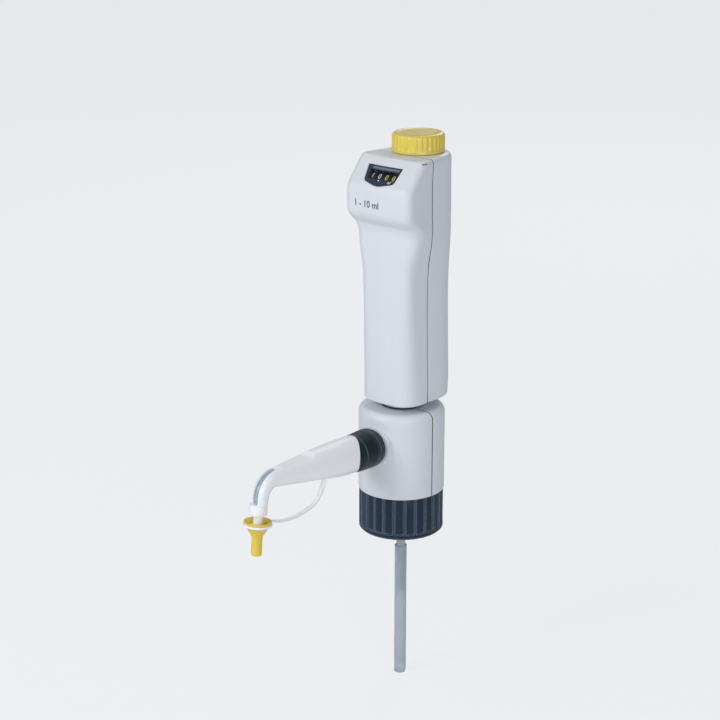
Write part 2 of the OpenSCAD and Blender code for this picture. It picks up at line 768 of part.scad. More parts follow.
module counter_frame() color("#8f989f") difference() {
    union() {
        translate([-14.8, counter_y - 6, 211]) cube([36.6, 14, 2.4]);
        translate([-14.8, counter_y - 3.5, 211]) cube([2, 7, counter_z + 3.5 - 211]);
        translate([20.7, counter_y - 3.5, 211]) cube([1.1, 7, counter_z + 3.5 - 211]);
        for (at = [[-12, counter_y + 2], [3, -15]]) translate([at[0], at[1], plate_z + plate_h + 0.02])
            cylinder(r = 2, h = 212 - plate_z - plate_h);
    }
    translate([drive_at[0], drive_at[1], 200]) cylinder(r = shaft_r + run, h = 20);
    translate([-30, counter_y, counter_z]) rotate([0, 90, 0]) cylinder(r = shaft_r + 0.01, h = 60);
}

module counter_shaft() color("silver") translate([-14.8, counter_y, counter_z]) rotate([0, 90, 0])
    cylinder(r = shaft_r, h = 36.6);

module spindle_bush() color("#6f7a86") translate([0, knob_back, 0])
    ring(4.98, spindle_r + run, housing_top_z - 7, 7 - eps);

module spindle_foot() color("#6f7a86") difference() {
    translate([-nut_half_w, nut_front + 0.2, foot_z]) cube([2 * nut_half_w, 20.5 - nut_front, 6]);
    translate([0, knob_back, foot_z + 0.5]) cylinder(r = spindle_r + run, h = 20);
}

module spindle() color("silver") translate([0, knob_back, spindle_z]) difference() {
    cylinder(r = spindle_r, h = housing_top_z + 5 - spindle_z);
    for (z = [nut_top_z - nut_h - 2 : 1.2 : stop_z + 2]) translate([0, 0, z - spindle_z]) difference() {
        cylinder(r = 4, h = 0.5);
        translate([0, 0, -1]) cylinder(r = spindle_r - 0.3, h = 3);
    }
}

module spindle_gear() color("#d9dcde") translate([spindle_at[0], spindle_at[1], gear_z])
    spur(spindle_teeth, 0, gear_h, spindle_r + 0.01);

module idler_gear() color("#d9dcde") translate([idler_at[0], idler_at[1], gear_z])
    spur(idler_teeth, idler_turn, gear_h, shaft_r + run);

module drive_shaft() color("#d9dcde") translate([drive_at[0], drive_at[1], 0]) {
    translate([0, 0, gear_z]) spur(drive_teeth, drive_turn, gear_h, shaft_r - eps);
    translate([0, 0, plate_z]) cylinder(r = shaft_r, h = counter_z - bevel_out - 1 - plate_z);
    translate([0, 0, counter_z]) bevel(0);
}

module stop_nut() color("#c8a23a") difference() {
    translate([-nut_half_w, nut_front, nut_top_z - nut_h]) cube([2 * nut_half_w, nut_rear - nut_front, nut_h]);
    translate([0, knob_back, nut_top_z - nut_h - 1]) cylinder(r = spindle_r + run, h = nut_h + 2);
}

module volume_knob() color("#f2c21a") translate([0, knob_back, housing_top_z + gap]) difference() {
    r = knob_d / 2;
    union() {
        cylinder(r = r, h = knob_skirt);
        translate([0, 0, knob_skirt]) linear_extrude(knob_h - knob_skirt - knob_chamfer) difference() {
            circle(r);
            for (i = [0 : knob_flutes - 1]) rotate(360 * i / knob_flutes)
                translate([r + flute_r - flute_in, 0]) circle(flute_r);
        }
        translate([0, 0, knob_h - knob_chamfer - eps])
            cylinder(r1 = r - flute_in - 0.1, r2 = r - flute_in - knob_chamfer, h = knob_chamfer);
    }
    translate([0, 0, -1]) cylinder(r = spindle_r + 0.01, h = 1 + 5 - gap);
    translate([0, 0, -1]) difference() {
        cylinder(r = r - 2.2, h = knob_h - 1.2);
        cylinder(r = 5.5, h = knob_h);
    }
}

// A digit wheel in its place on the counter shaft
module digit_wheel(place) {
    translate([(place - 1.5) * wheel_pitch, counter_y, counter_z]) rotate([0, 90, 0]) difference() {
        union() {
            translate([0, 0, -wheel_w / 2]) cylinder(r = wheel_r, h = wheel_w);
            translate([0, 0, -wheel_pitch / 2 + 0.05]) cylinder(r = 3.2, h = wheel_pitch - 0.3);
        }
        translate([0, 0, -10]) cylinder(r = shaft_r + run, h = 20);
    }
}

module digit_wheel_tens() color("#15181c") digit_wheel(0);

module digit_wheel_units() color("#15181c") digit_wheel(1);

module digit_wheel_tenths() color("#15181c") digit_wheel(2);

module digit_wheel_hundredths() color("#15181c") {
    digit_wheel(3);
    translate([drive_x, counter_y, counter_z]) rotate([0, 90, 0]) difference() {
        union() {
            bevel(180 / bevel_teeth);
            translate([0, 0, 1.5 * wheel_pitch + wheel_w / 2 - drive_x]) cylinder(r = bevel_in, h = 0.9);
        }
        translate([0, 0, -20]) cylinder(r = shaft_r + run, h = 30);
    }
}

bottle_collar();
front_cover();
rear_cover();
cover_screws();
valve_core();
retaining_ring();
seal_washer();
filling_valve();
discharge_valve();
cylinder_nut();
neck_seal();
glass_cylinder();
guard_tube();
stop_plate();
vent_cap();
spout_sleeve();
spout();
discharge_tube();
spout_tip();
upper_tube();
lower_tube();
filling_ball();
discharge_ball();
front_shell();
rear_shell();
shell_screws();
display_bezel();
display_lens();
piston();
piston_seal();
piston_mount();
gear_plate();
counter_frame();
counter_shaft();
spindle_bush();
spindle_foot();
volume_knob();
spindle();
spindle_gear();
idler_gear();
drive_shaft();
stop_nut();
digit_wheel_tens();
digit_wheel_units();
digit_wheel_tenths();
digit_wheel_hundredths();
nozzle_cap();
strap_ring();
cap_strap();
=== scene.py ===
import json
from math import acos, asin, atan2, cos, hypot, pi, radians, sin, sqrt, tan

import bmesh
import bpy
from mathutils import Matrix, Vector


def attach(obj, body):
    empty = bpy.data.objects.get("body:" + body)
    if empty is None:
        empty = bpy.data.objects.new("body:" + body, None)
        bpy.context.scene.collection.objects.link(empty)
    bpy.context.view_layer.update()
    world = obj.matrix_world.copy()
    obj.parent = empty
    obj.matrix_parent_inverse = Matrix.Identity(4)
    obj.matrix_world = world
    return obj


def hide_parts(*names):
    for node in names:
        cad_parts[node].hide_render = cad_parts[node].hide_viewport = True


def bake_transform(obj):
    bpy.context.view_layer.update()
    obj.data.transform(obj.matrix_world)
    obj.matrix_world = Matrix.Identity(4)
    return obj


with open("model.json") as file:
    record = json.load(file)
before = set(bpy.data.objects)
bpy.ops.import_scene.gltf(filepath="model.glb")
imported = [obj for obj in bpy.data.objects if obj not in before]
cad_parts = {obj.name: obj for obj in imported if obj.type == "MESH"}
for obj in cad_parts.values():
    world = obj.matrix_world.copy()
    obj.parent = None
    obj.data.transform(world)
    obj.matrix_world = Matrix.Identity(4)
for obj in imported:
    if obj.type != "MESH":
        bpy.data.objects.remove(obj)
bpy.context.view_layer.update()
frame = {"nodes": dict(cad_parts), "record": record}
nodes = frame["nodes"]
mm = 0.001
print("frame loaded:", len(nodes), "CAD nodes")


# camera, floor and light

studio = {
    "cameraAt": (730.13, -881.04, 476.20), "lookAt": (-19.96, -17.33, 111.63), "lens": 95.49, "sensor": 36,
    "clip": (0.05, 30),
    "floorZ": -104.2, "floorSize": 9000, "floorColour": (0.80, 0.81, 0.83),
    # what the camera sees of the floor, and how much of it
    "backColour": (0.90, 0.92, 0.94), "backShare": 0.82,
    "worldColour": (0.86, 0.89, 0.93), "worldLevel": 0.40, "worldSeen": (0.86, 0.88, 0.90),
    # place, size and power of each lamp
    "lamps": {"keyLight": ((-450, -1600, 1150), 900, 15.5), "fillLight": ((1350, -1050, 420), 900, 8),
              "backLight": ((-700, 1500, 1100), 900, 6)},
    "lampsAim": (0, -20, 110),
}


def feed(tree, node, values):
    # each value is a number, a colour, or the output of another node
    for key, value in values.items():
        if isinstance(value, bpy.types.NodeSocket):
            tree.links.new(value, node.inputs[key])
        else:
            node.inputs[key].default_value = value


def newNode(tree, kind, values=None, **settings):
    made = tree.nodes.new(kind)
    for key, value in settings.items():
        setattr(made, key, value)
    feed(tree, made, values or {})
    return made


def mathNode(tree, operation, *values):
    return newNode(tree, "ShaderNodeMath", dict(enumerate(values)), operation=operation).outputs[0]


def clearedTree(owner):
    owner.use_nodes = True
    owner.node_tree.nodes.clear()
    return owner.node_tree


def mixForCamera(tree, lit, seen, outKind, share=None):
    # the camera sees one shader, or a share of it, and the light meets the other
    part = newNode(tree, "ShaderNodeLightPath").outputs["Is Camera Ray"]
    if share is not None:
        part = mathNode(tree, "MULTIPLY", part, share)
    mix = newNode(tree, "ShaderNodeMixShader", {0: part, 1: lit.outputs[0], 2: seen.outputs[0]})
    newNode(tree, outKind, {"Surface": mix.outputs[0]})


def lookAt(thing, target):
    thing.rotation_euler = (Vector(target) * mm - thing.location).to_track_quat("-Z", "Y").to_euler()


def addCamera():
    bpy.ops.object.camera_add(location=Vector(studio["cameraAt"]) * mm)
    camera = bpy.context.object
    camera.name = "benchCamera"
    camera.data.lens = studio["lens"]
    camera.data.sensor_width = studio["sensor"]
    camera.data.sensor_fit = "HORIZONTAL"
    camera.data.clip_start, camera.data.clip_end = studio["clip"]
    lookAt(camera, studio["lookAt"])
    bpy.context.scene.camera = camera


def addSoftLight(name, at, size, power):
    bpy.ops.object.light_add(type="AREA", location=Vector(at) * mm)
    lamp = bpy.context.object
    lamp.name = name
    lamp.data.shape = "DISK"
    lamp.data.size = size * mm
    lamp.data.energy = power
    lookAt(lamp, studio["lampsAim"])


def addWorld():
    world = bpy.data.worlds.new("studioWorld")
    bpy.context.scene.world = world
    tree = clearedTree(world)
    light = newNode(tree, "ShaderNodeBackground", {
        "Color": (*studio["worldColour"], 1), "Strength": studio["worldLevel"]})
    plain = newNode(tree, "ShaderNodeBackground", {"Color": (*studio["worldSeen"], 1)})
    mixForCamera(tree, light, plain, "ShaderNodeOutputWorld")


bpy.context.scene.view_settings.view_transform = "Standard"
addCamera()
for lampName, lampValues in studio["lamps"].items():
    addSoftLight(lampName, *lampValues)
addWorld()
print("camera and lights set")


# materials

surfaceLook = {
    # edgeFrom and edgeTo: where the painted highlight on edges begins and where it is full
    "cloudScale": 26, "cloudDetail": 3, "grainDetail": 2, "bevelSamples": 4, "edgeFrom": 0.995, "edgeTo": 0.86,
    # seamShadowReach and seamShadowColour: half width and colour of the painted shadow in the seam
    "seamShadowReach": 0.34, "seamShadowColour": (0.02, 0.022, 0.026), "bump": 0.35, "coatRoughness": 0.12,
}


def mouldedSurfaceGroup():
    group = bpy.data.node_groups.new("mouldedSurface", "ShaderNodeTree")
    for name, value in {
        "Colour": (0.8, 0.8, 0.8, 1), "Edge Highlight Colour": (1, 1, 1, 1), "Edge Highlight Share": 0.3, "Edge Radius": 0.0006,
        "Tone Spread": 0.04, "Roughness": 0.4, "Roughness Spread": 0.06, "Grain Scale": 900.0, "Seam Shade": 0.0,
        "Seam Place": 0.0,
    }.items():
        kind = "NodeSocketColor" if isinstance(value, tuple) else "NodeSocketFloat"
        group.interface.new_socket(name=name, in_out="INPUT", socket_type=kind).default_value = value
    for name, kind in [("Colour", "Color"), ("Roughness", "Float"), ("Height", "Float")]:
        group.interface.new_socket(name=name, in_out="OUTPUT", socket_type="NodeSocket" + kind)
    taken = newNode(group, "NodeGroupInput").outputs
    place = newNode(group, "ShaderNodeTexCoord").outputs["Object"]
    cloud = newNode(group, "ShaderNodeTexNoise", {
        "Vector": place, "Scale": surfaceLook["cloudScale"], "Detail": surfaceLook["cloudDetail"]})
    grain = newNode(group, "ShaderNodeTexNoise", {
        "Vector": place, "Scale": taken["Grain Scale"], "Detail": surfaceLook["grainDetail"]})
    # tone: 1 + spread * (cloud - 0.5)
    centre = mathNode(group, "SUBTRACT", cloud.outputs["Fac"], 0.5)
    tone = mathNode(group, "MULTIPLY_ADD", centre, taken["Tone Spread"], 1)
    toned = newNode(group, "ShaderNodeVectorMath", {0: taken["Colour"], "Scale": tone}, operation="SCALE")
    # painted highlight on edges: where the rounded normal leaves the true one, the colour turns to the highlight colour
    soft = newNode(group, "ShaderNodeBevel", {"Radius": taken["Edge Radius"]}, samples=surfaceLook["bevelSamples"])
    true = newNode(group, "ShaderNodeNewGeometry").outputs["Normal"]
    same = newNode(group, "ShaderNodeVectorMath", {0: soft.outputs[0], 1: true}, operation="DOT_PRODUCT")
    edge = newNode(group, "ShaderNodeMapRange", {
        "Value": same.outputs["Value"], "From Min": surfaceLook["edgeFrom"], "From Max": surfaceLook["edgeTo"],
        "To Min": 0, "To Max": 1})
    share = mathNode(group, "MULTIPLY", edge.outputs["Result"], taken["Edge Highlight Share"])
    mixed = newNode(group, "ShaderNodeMix", {"Factor": share, "A": toned.outputs[0], "B": taken["Edge Highlight Colour"]},
                    data_type="RGBA")
    # painted shadow: the walls of the seam between two shells are painted dark near the seam's place along Y, where
    # they lie in its shadow
    axes = newNode(group, "ShaderNodeSeparateXYZ", {0: place})
    away = mathNode(group, "ABSOLUTE", mathNode(group, "SUBTRACT", axes.outputs["Y"], taken["Seam Place"]))
    within = mathNode(group, "LESS_THAN", away, surfaceLook["seamShadowReach"] * mm)
    shaded = mathNode(group, "MULTIPLY", within, taken["Seam Shade"])
    dark = newNode(group, "ShaderNodeMix", {
        "Factor": shaded, "A": mixed.outputs["Result"], "B": (*surfaceLook["seamShadowColour"], 1)}, data_type="RGBA")
    rough = mathNode(group, "MULTIPLY_ADD", centre, taken["Roughness Spread"], taken["Roughness"])
    newNode(group, "NodeGroupOutput", {"Colour": dark.outputs["Result"], "Roughness": rough,
                                       "Height": grain.outputs["Fac"]})
    return group


mouldedSurface = mouldedSurfaceGroup()


def mouldedPlastic(name, colour, edge=None, toneSpread=0.05, roughness=0.4, roughnessSpread=0.08, grainDepth=0.02,
                   coat=0.0, ior=1.48, metallic=0.0, transmission=0.0, alpha=1.0, seamAt=None):
    # edge: colour, share and radius of the painted highlight on the edges; seamAt: where the seam, with its painted
    # shadow, lies along Y
    highlightColour, highlightShare, edgeRadius = edge or (colour, 0.0, 0.6)
    material = bpy.data.materials.new(name)
    material.use_nodes = True
    tree = material.node_tree
    surface = newNode(tree, "ShaderNodeGroup", node_tree=mouldedSurface)
    feed(tree, surface, {
        "Colour": (*colour, 1), "Edge Highlight Colour": (*highlightColour, 1), "Edge Highlight Share": highlightShare,
        "Edge Radius": edgeRadius * mm, "Tone Spread": toneSpread, "Roughness": roughness,
        "Roughness Spread": roughnessSpread, "Seam Shade": 0 if seamAt is None else 1,
        "Seam Place": (seamAt or 0) * mm})
    bump = newNode(tree, "ShaderNodeBump", {
        "Strength": surfaceLook["bump"], "Distance": grainDepth * mm, "Height": surface.outputs["Height"]})
    feed(tree, tree.nodes["Principled BSDF"], {
        "Base Color": surface.outputs["Colour"], "Roughness": surface.outputs["Roughness"],
        "Normal": bump.outputs["Normal"], "Coat Weight": coat, "Coat Roughness": surfaceLook["coatRoughness"],
        "IOR": ior, "Metallic": metallic, "Transmission Weight": transmission, "Alpha": alpha})
    return material


# edge: a painted highlight along the edges of each material that has one
looks = {
    # housing and block: seamAt paints the shadow of the seam dark
    "housingWhite": dict(colour=(0.72, 0.75, 0.80), roughness=0.36, toneSpread=0.03, grainDepth=0.015, seamAt=-0.325),
    "blockWhite": dict(colour=(0.72, 0.75, 0.80), roughness=0.38, toneSpread=0.03, grainDepth=0.015, seamAt=-2.5),
    "spoutWhite": dict(colour=(0.93, 0.95, 0.985), roughness=0.34, toneSpread=0.03, grainDepth=0.01),
    "collarBlue": dict(colour=(0.008, 0.021, 0.040), edge=((0.20, 0.32, 0.52), 1.0, 0.7), toneSpread=0.25,
                       roughness=0.36, grainDepth=0.03, ior=1.38),
    "sleeveBlue": dict(colour=(0.004, 0.015, 0.024), edge=((0.26, 0.34, 0.41), 0.9, 0.45), toneSpread=0.2,
                       roughness=0.33, ior=1.38),
    "knobYellow": dict(colour=(0.80, 0.63, 0.09), edge=((0.93, 0.86, 0.55), 0.8, 0.7), toneSpread=0.06, roughness=0.3,
                       coat=0.25),
    "capYellow": dict(colour=(0.82, 0.60, 0.07), edge=((0.90, 0.78, 0.32), 0.6, 0.4), toneSpread=0.06,
                      roughness=0.35),
    "bezelNavy": dict(colour=(0.016, 0.033, 0.060), edge=((0.07, 0.10, 0.14), 0.6, 0.25), toneSpread=0.2,
                      roughness=0.2, coat=0.4, grainDepth=0.005),
    "barBlue": dict(colour=(0.13, 0.19, 0.25), toneSpread=0.1, roughness=0.3, grainDepth=0.005),
    "lensClear": dict(colour=(0.03, 0.04, 0.05), roughness=0.05, roughnessSpread=0.02, toneSpread=0.0,
                      grainDepth=0.001, alpha=0.08),
    "wheelBlack": dict(colour=(0.008, 0.009, 0.011), toneSpread=0.3, roughness=0.5, grainDepth=0.01),
    "digitWhite": dict(colour=(0.95, 0.96, 0.97), roughness=0.5, grainDepth=0.003),
    "digitYellow": dict(colour=(0.95, 0.84, 0.18), roughness=0.5, grainDepth=0.003),
    "printGrey": dict(colour=(0.075, 0.08, 0.095), toneSpread=0.2, roughness=0.5, grainDepth=0.003),
    "tubeMilky": dict(colour=(0.80, 0.85, 0.90), roughness=0.25, grainDepth=0.005, ior=1.34, transmission=0.75),
    "lineBlue": dict(colour=(0.33, 0.46, 0.55), toneSpread=0.15, roughness=0.22, grainDepth=0.005, coat=0.3),
    "ptfeWhite": dict(colour=(0.84, 0.84, 0.82), roughness=0.55),
    "coreGrey": dict(colour=(0.55, 0.57, 0.60), toneSpread=0.08, roughness=0.45),
    "nutGrey": dict(colour=(0.46, 0.50, 0.56), toneSpread=0.08, roughness=0.35),
    "sealBlack": dict(colour=(0.018, 0.02, 0.024), toneSpread=0.3, roughness=0.6),
    "glassClear": dict(colour=(0.93, 0.97, 0.97), toneSpread=0.0, roughness=0.02, roughnessSpread=0.01,
                       grainDepth=0.001, transmission=1.0),
    "guardClear": dict(colour=(0.86, 0.89, 0.92), toneSpread=0.03, roughness=0.3, transmission=0.8),
    "turnedSteel": dict(colour=(0.56, 0.57, 0.58), edge=((0.8, 0.8, 0.8), 0.4, 0.3), toneSpread=0.1, roughness=0.28,
                        metallic=1.0),
    "brass": dict(colour=(0.64, 0.46, 0.18), edge=((0.85, 0.68, 0.35), 0.4, 0.3), toneSpread=0.1, roughness=0.3,
                  metallic=1.0),
    "mountGrey": dict(colour=(0.10, 0.115, 0.135), toneSpread=0.15, roughness=0.5),
    "gearWhite": dict(colour=(0.74, 0.74, 0.73)),
    "ballRuby": dict(colour=(0.36, 0.02, 0.03), toneSpread=0.1, roughness=0.12, coat=0.6),
    "strapMilky": dict(colour=(0.93, 0.95, 0.97), roughness=0.3, grainDepth=0.01),
}
finish = {name: mouldedPlastic(name, **values) for name, values in looks.items()}
slotFinish = {
    "collar_dark": "collarBlue", "cover_white": "blockWhite", "housing_white": "housingWhite",
    "knob_yellow": "knobYellow", "cap_yellow": "capYellow", "bezel_navy": "bezelNavy", "lens_clear": "lensClear",
    "wheel_black": "wheelBlack", "fep_tube": "tubeMilky", "line_blue": "lineBlue", "ptfe_white": "ptfeWhite",
    "core_grey": "coreGrey", "nut_grey": "nutGrey", "seal_black": "sealBlack", "glass_clear": "glassClear",
    "guard_clear": "guardClear", "steel": "turnedSteel", "brass_nut": "brass", "mount_grey": "mountGrey",
    "gear_white": "gearWhite", "ball_ruby": "ballRuby", "strap_clear": "strapMilky",
}
for subpart in frame["record"]["subparts"]:
    for place in nodes[subpart["node"]].material_slots:
        place.material = finish[slotFinish[subpart["material_slot"]]]
print("materials made:", len(finish))


def paleFloor():
    # the camera sees the floor paler than the light on it, and still sees its shadows
    material = bpy.data.materials.new("benchPale")
    tree = clearedTree(material)
    matt = newNode(tree, "ShaderNodeBsdfDiffuse", {"Color": (*studio["floorColour"], 1)})
    pale = newNode(tree, "ShaderNodeEmission", {"Color": (*studio["backColour"], 1)})
    mixForCamera(tree, matt, pale, "ShaderNodeOutputMaterial", studio["backShare"])
    return material


def addFloor():
    bpy.ops.object.select_all(action="DESELECT")
    bpy.ops.mesh.primitive_grid_add(x_subdivisions=2, y_subdivisions=2, size=studio["floorSize"] * mm,
                                    location=(0, 0, studio["floorZ"] * mm))
    floor = bpy.context.object
    floor.name = "benchTop"
    floor.data.materials.append(paleFloor())


addFloor()


# ways of making a piece

def clearSelection():
    if bpy.context.object and bpy.context.object.mode != "OBJECT":
        bpy.ops.object.mode_set(mode="OBJECT")
    bpy.ops.object.select_all(action="DESELECT")


def placeLastRing(piece, ring):
    mesh = bmesh.from_edit_mesh(piece.data)
    mesh.verts.ensure_lookup_table()
    first = len(mesh.verts) - len(ring)
    for i, point in enumerate(ring):
        mesh.verts[first + i].co = Vector(point) * mm
    bmesh.update_edit_mesh(piece.data)


def selectVerts(piece, chosen):
    bpy.ops.mesh.select_all(action="DESELECT")
    mesh = bmesh.from_edit_mesh(piece.data)
    mesh.verts.ensure_lookup_table()
    for i in chosen:
        mesh.verts[i].select = True
    mesh.select_flush(True)
    bmesh.update_edit_mesh(piece.data)


def loft(name, rings, ends="capped", closed=True):
    # a circle is pulled up ring by ring, and each ring is set to its outline
    # ends: capped, topped with a face on the last ring alone, joined to each other, or open
    clearSelection()
    count = len(rings[0])
    bpy.ops.mesh.primitive_circle_add(vertices=count, radius=0.01, fill_type="NOTHING")
    piece = bpy.context.object
    piece.name = piece.data.name = name
    bpy.ops.object.mode_set(mode="EDIT")
    bpy.ops.mesh.select_mode(type="VERT")
    if not closed:
        selectVerts(piece, (0, count - 1))
        bpy.ops.mesh.delete(type="EDGE_FACE")
        bpy.ops.mesh.select_all(action="SELECT")
    placeLastRing(piece, rings[0])
    for ring in rings[1:]:
        bpy.ops.mesh.extrude_region_move()
        placeLastRing(piece, ring)
    if ends in ("capped", "topped"):
        bpy.ops.mesh.edge_face_add()
    if ends == "capped":
        selectVerts(piece, range(count))
        bpy.ops.mesh.edge_face_add()
    if ends == "joined":
        last = (len(rings) - 1) * count
        selectVerts(piece, [*range(count), *range(last, last + count)])
        bpy.ops.mesh.bridge_edge_loops()
    bpy.ops.mesh.select_all(action="SELECT")
    bpy.ops.mesh.normals_make_consistent(inside=False)
    bpy.ops.object.mode_set(mode="OBJECT")
    return piece


def pick(piece, others=()):
    clearSelection()
    for each in (*others, piece):
        each.select_set(True)
    bpy.context.view_layer.objects.active = piece


def faceAwayFrom(piece, middle):
    # an open skin has no inside, so its faces are turned away from a point within it
    middle = Vector(middle) * mm
    lean = sum(face.normal.dot(face.center - middle) * face.area for face in piece.data.polygons)
    if lean < 0:
        pick(piece)
        bpy.ops.object.mode_set(mode="EDIT")
        bpy.ops.mesh.select_all(action="SELECT")
        bpy.ops.mesh.flip_normals()
        bpy.ops.object.mode_set(mode="OBJECT")


def applyModifier(piece, kind, **settings):
    pick(piece)
    modifier = piece.modifiers.new(kind.lower(), kind)
    for key, value in settings.items():
        setattr(modifier, key, value)
    bpy.ops.object.modifier_apply(modifier=modifier.name)


def cut(piece, tool, operation="DIFFERENCE"):
    applyModifier(piece, "BOOLEAN", object=tool, operation=operation, solver="EXACT")
    bpy.data.objects.remove(tool, do_unlink=True)


def softenEdges(piece, width):
    applyModifier(piece, "BEVEL", width=width * mm, segments=2, limit_method="ANGLE",
                  angle_limit=radians(60), use_clamp_overlap=True)


def giveWall(piece, thickness):
    applyModifier(piece, "SOLIDIFY", thickness=thickness * mm, offset=-1, use_even_offset=True)


def joinInto(piece, others):
    pick(piece, others)
    bpy.ops.object.join()


def dress(piece, look, body, replaced=(), smoothAngle=35):
    pick(piece)
    bpy.ops.object.shade_smooth_by_angle(angle=radians(smoothAngle))
    piece.data.materials.clear()
    piece.data.materials.append(finish[look])
    if body:
        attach(piece, body)
    if replaced:
        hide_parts(*replaced)


def roundPoints(radius, count, centre=(0, 0)):
    turns = [2 * pi * i / count for i in range(count)]
    return [(centre[0] + radius * cos(t), centre[1] + radius * sin(t)) for t in turns]


def ringAlongY(centre, radius, y, count=40):
    return [(x, y, z) for x, z in roundPoints(radius, count, centre)]


def through(knots, at):
    # a smooth curve through rows of values, which never overshoots them; the first value of each row is its place
    last = len(knots) - 1
    i = max(0, min(last - 1, next((k for k in range(last) if at <= knots[k + 1][0]), last - 1)))
    a, b = knots[i], knots[i + 1]
    span = b[0] - a[0]
    t = max(0.0, min(1.0, (at - a[0]) / span))

    def slope(k, n):
        if k <= 0 or k >= last:
            near, far = (knots[0], knots[1]) if k <= 0 else (knots[last - 1], knots[last])
            return (far[n] - near[n]) / (far[0] - near[0])
        before = (knots[k][n] - knots[k - 1][n]) / (knots[k][0] - knots[k - 1][0])
        after = (knots[k + 1][n] - knots[k][n]) / (knots[k + 1][0] - knots[k][0])
        if before * after <= 0:
            return 0.0
        return 2 * before * after / (before + after)

    values = []
    for n in range(1, len(a)):
        m0, m1 = slope(i, n) * span, slope(i + 1, n) * span
        values.append((2 * t**3 - 3 * t**2 + 1) * a[n] + (t**3 - 2 * t**2 + t) * m0
                      + (3 * t**2 - 2 * t**3) * b[n] + (t**3 - t**2) * m1)
    return values


# housing

housing = {
    "bottomZ": 87.8, "topZ": 243, "wall": 2, "footRound": 0.8, "neckHole": 13.2, "headZ": 214,
    # height, half width, front, corner radius, rear radius
    "levels": [
        (88.6, 21.2, 20.5, 13, 21.3), (99.5, 20.9, 20.5, 12.5, 21.7), (120, 20.3, 20.5, 11, 21.3),
        (155, 19.8, 20.5, 9, 20.8), (166, 19.8, 20.5, 8.5, 20.9), (176, 20.6, 20.6, 8.5, 21.25),
        (188, 23.5, 20, 9, 21.8), (195.5, 24.7, 19.6, 9.5, 22), (201.5, 25.4, 21, 8, 22),
        (204.5, 25.5, 23.7, 6.8, 22), (207.3, 25.5, 26.0, 6.2, 22), (210.3, 25.5, 27.05, 6, 22),
        (214, 25.5, 27.3, 6, 22),
    ],
    # from, to and number of steps
    "levelSteps": [(88.6, 99.5, 4), (99.5, 120, 6), (120, 155, 10), (155, 166, 4), (166, 176, 5), (176, 188, 7),
                   (188, 195.5, 5), (195.5, 214, 22)],
    "headSteps": [(214, 221, 2), (221, 229, 12)],
    "headHalfW": 25.5, "headFront": 27.3, "headCorner": 6, "headRear": 21.8, "bellyRear": 22, "rearEase": 12,
    "headTaper": 0.3, "browZ": 225.5, "browRound": 9,
    "topFront": 13.2, "edgeRound": 3.3, "foldRound": 2.4, "frontCurve": 40, "frontDrop": 0.8, "rearY": 12,
    "seamFront": -0.65, "seamRear": 0.0, "seamRound": 0.18,
    "notch": (22.2, 26, -11.2, -7.2, 240.9, 241.8),
    # across, height and seat of each screw, then the radii of its well and the hole for the spindle
    "screws": [(-14.6, 101, 19), (14.6, 101, 19), (-14, 236, 15), (14, 236, 15)],
    "wellRadius": 2.7, "wellRim": 3.3, "spindleHole": 5, "spindleAt": (0, 14.2),
}
slopeTilt = atan2(housing["topZ"] - housing["browZ"], housing["headFront"] - housing["topFront"])


def polar(angle, radius):
    return Vector((cos(angle), sin(angle))) * radius


def housingArcs(halfW, front, corner, rear):
    frontAt = Vector((0, housing["frontCurve"] - front))
    cornerAt = Vector((halfW - corner, corner - front + housing["frontDrop"]))
    rearAt = Vector((0, housing["rearY"]))
    toFront, toRear = cornerAt - frontAt, cornerAt - rearAt
    a = atan2(toFront.y, toFront.x) - acos((housing["frontCurve"] - corner) / toFront.length)
    b = atan2(toRear.y, toRear.x) + acos((rear - corner) / toRear.length)
    return frontAt, cornerAt, rearAt, a, b


def spread(a, b, count, withFirst=False):
    return [a + (b - a) * i / count for i in range(0 if withFirst else 1, count + 1)]


def shellRing(section, seamY, isFront):
    # from seam to seam, round the front or round the rear
    z, halfW, front, corner, rear, inset = section
    frontAt, cornerAt, rearAt, a, b = housingArcs(halfW, front, corner, rear)
    end, rearStart = cornerAt + polar(b, corner - inset), rearAt + polar(b, rear - inset)
    seam = end + (rearStart - end) * ((seamY - end.y) / (rearStart.y - end.y))
    if not isFront:
        half = spread(seam, rearStart, 4, True) + [rearAt + polar(t, rear - inset) for t in spread(b, pi / 2, 20)]
        return [(p.x, p.y, z) for p in half] + [(-p.x, p.y, z) for p in half[-2::-1]]
    half = [frontAt + polar(t, housing["frontCurve"] - inset) for t in spread(-pi / 2, a, 2, True)]
    half += spread(half[-1], cornerAt + polar(a, corner - inset), 7)
    half += [cornerAt + polar(t, corner - inset) for t in spread(a, b, 12)] + spread(end, seam, 5)
    return [(-p.x, p.y, z) for p in half[:0:-1]] + [(p.x, p.y, z) for p in half]


def crownFront(depth):
    tuck = housing["foldRound"] * tan(slopeTilt / 2)
    if depth < tuck * sin(slopeTilt):
        return housing["topFront"] - tuck + sqrt(2 * housing["foldRound"] * depth - depth * depth)
    return housing["topFront"] + depth / tan(slopeTilt)


def headFrontAt(z):
    # upright front, a soft brow, then the display slope
    radius, turn = housing["browRound"], pi / 2 - slopeTilt
    tuck = radius * tan(turn / 2)
    low, high = housing["browZ"] - tuck, housing["browZ"] + tuck * cos(turn)
    if z <= low:
        return housing["headFront"]
    if z < high:
        return housing["headFront"] - radius + sqrt(radius**2 - (z - low) ** 2)
    return housing["headFront"] - (z - housing["browZ"]) / tan(slopeTilt)


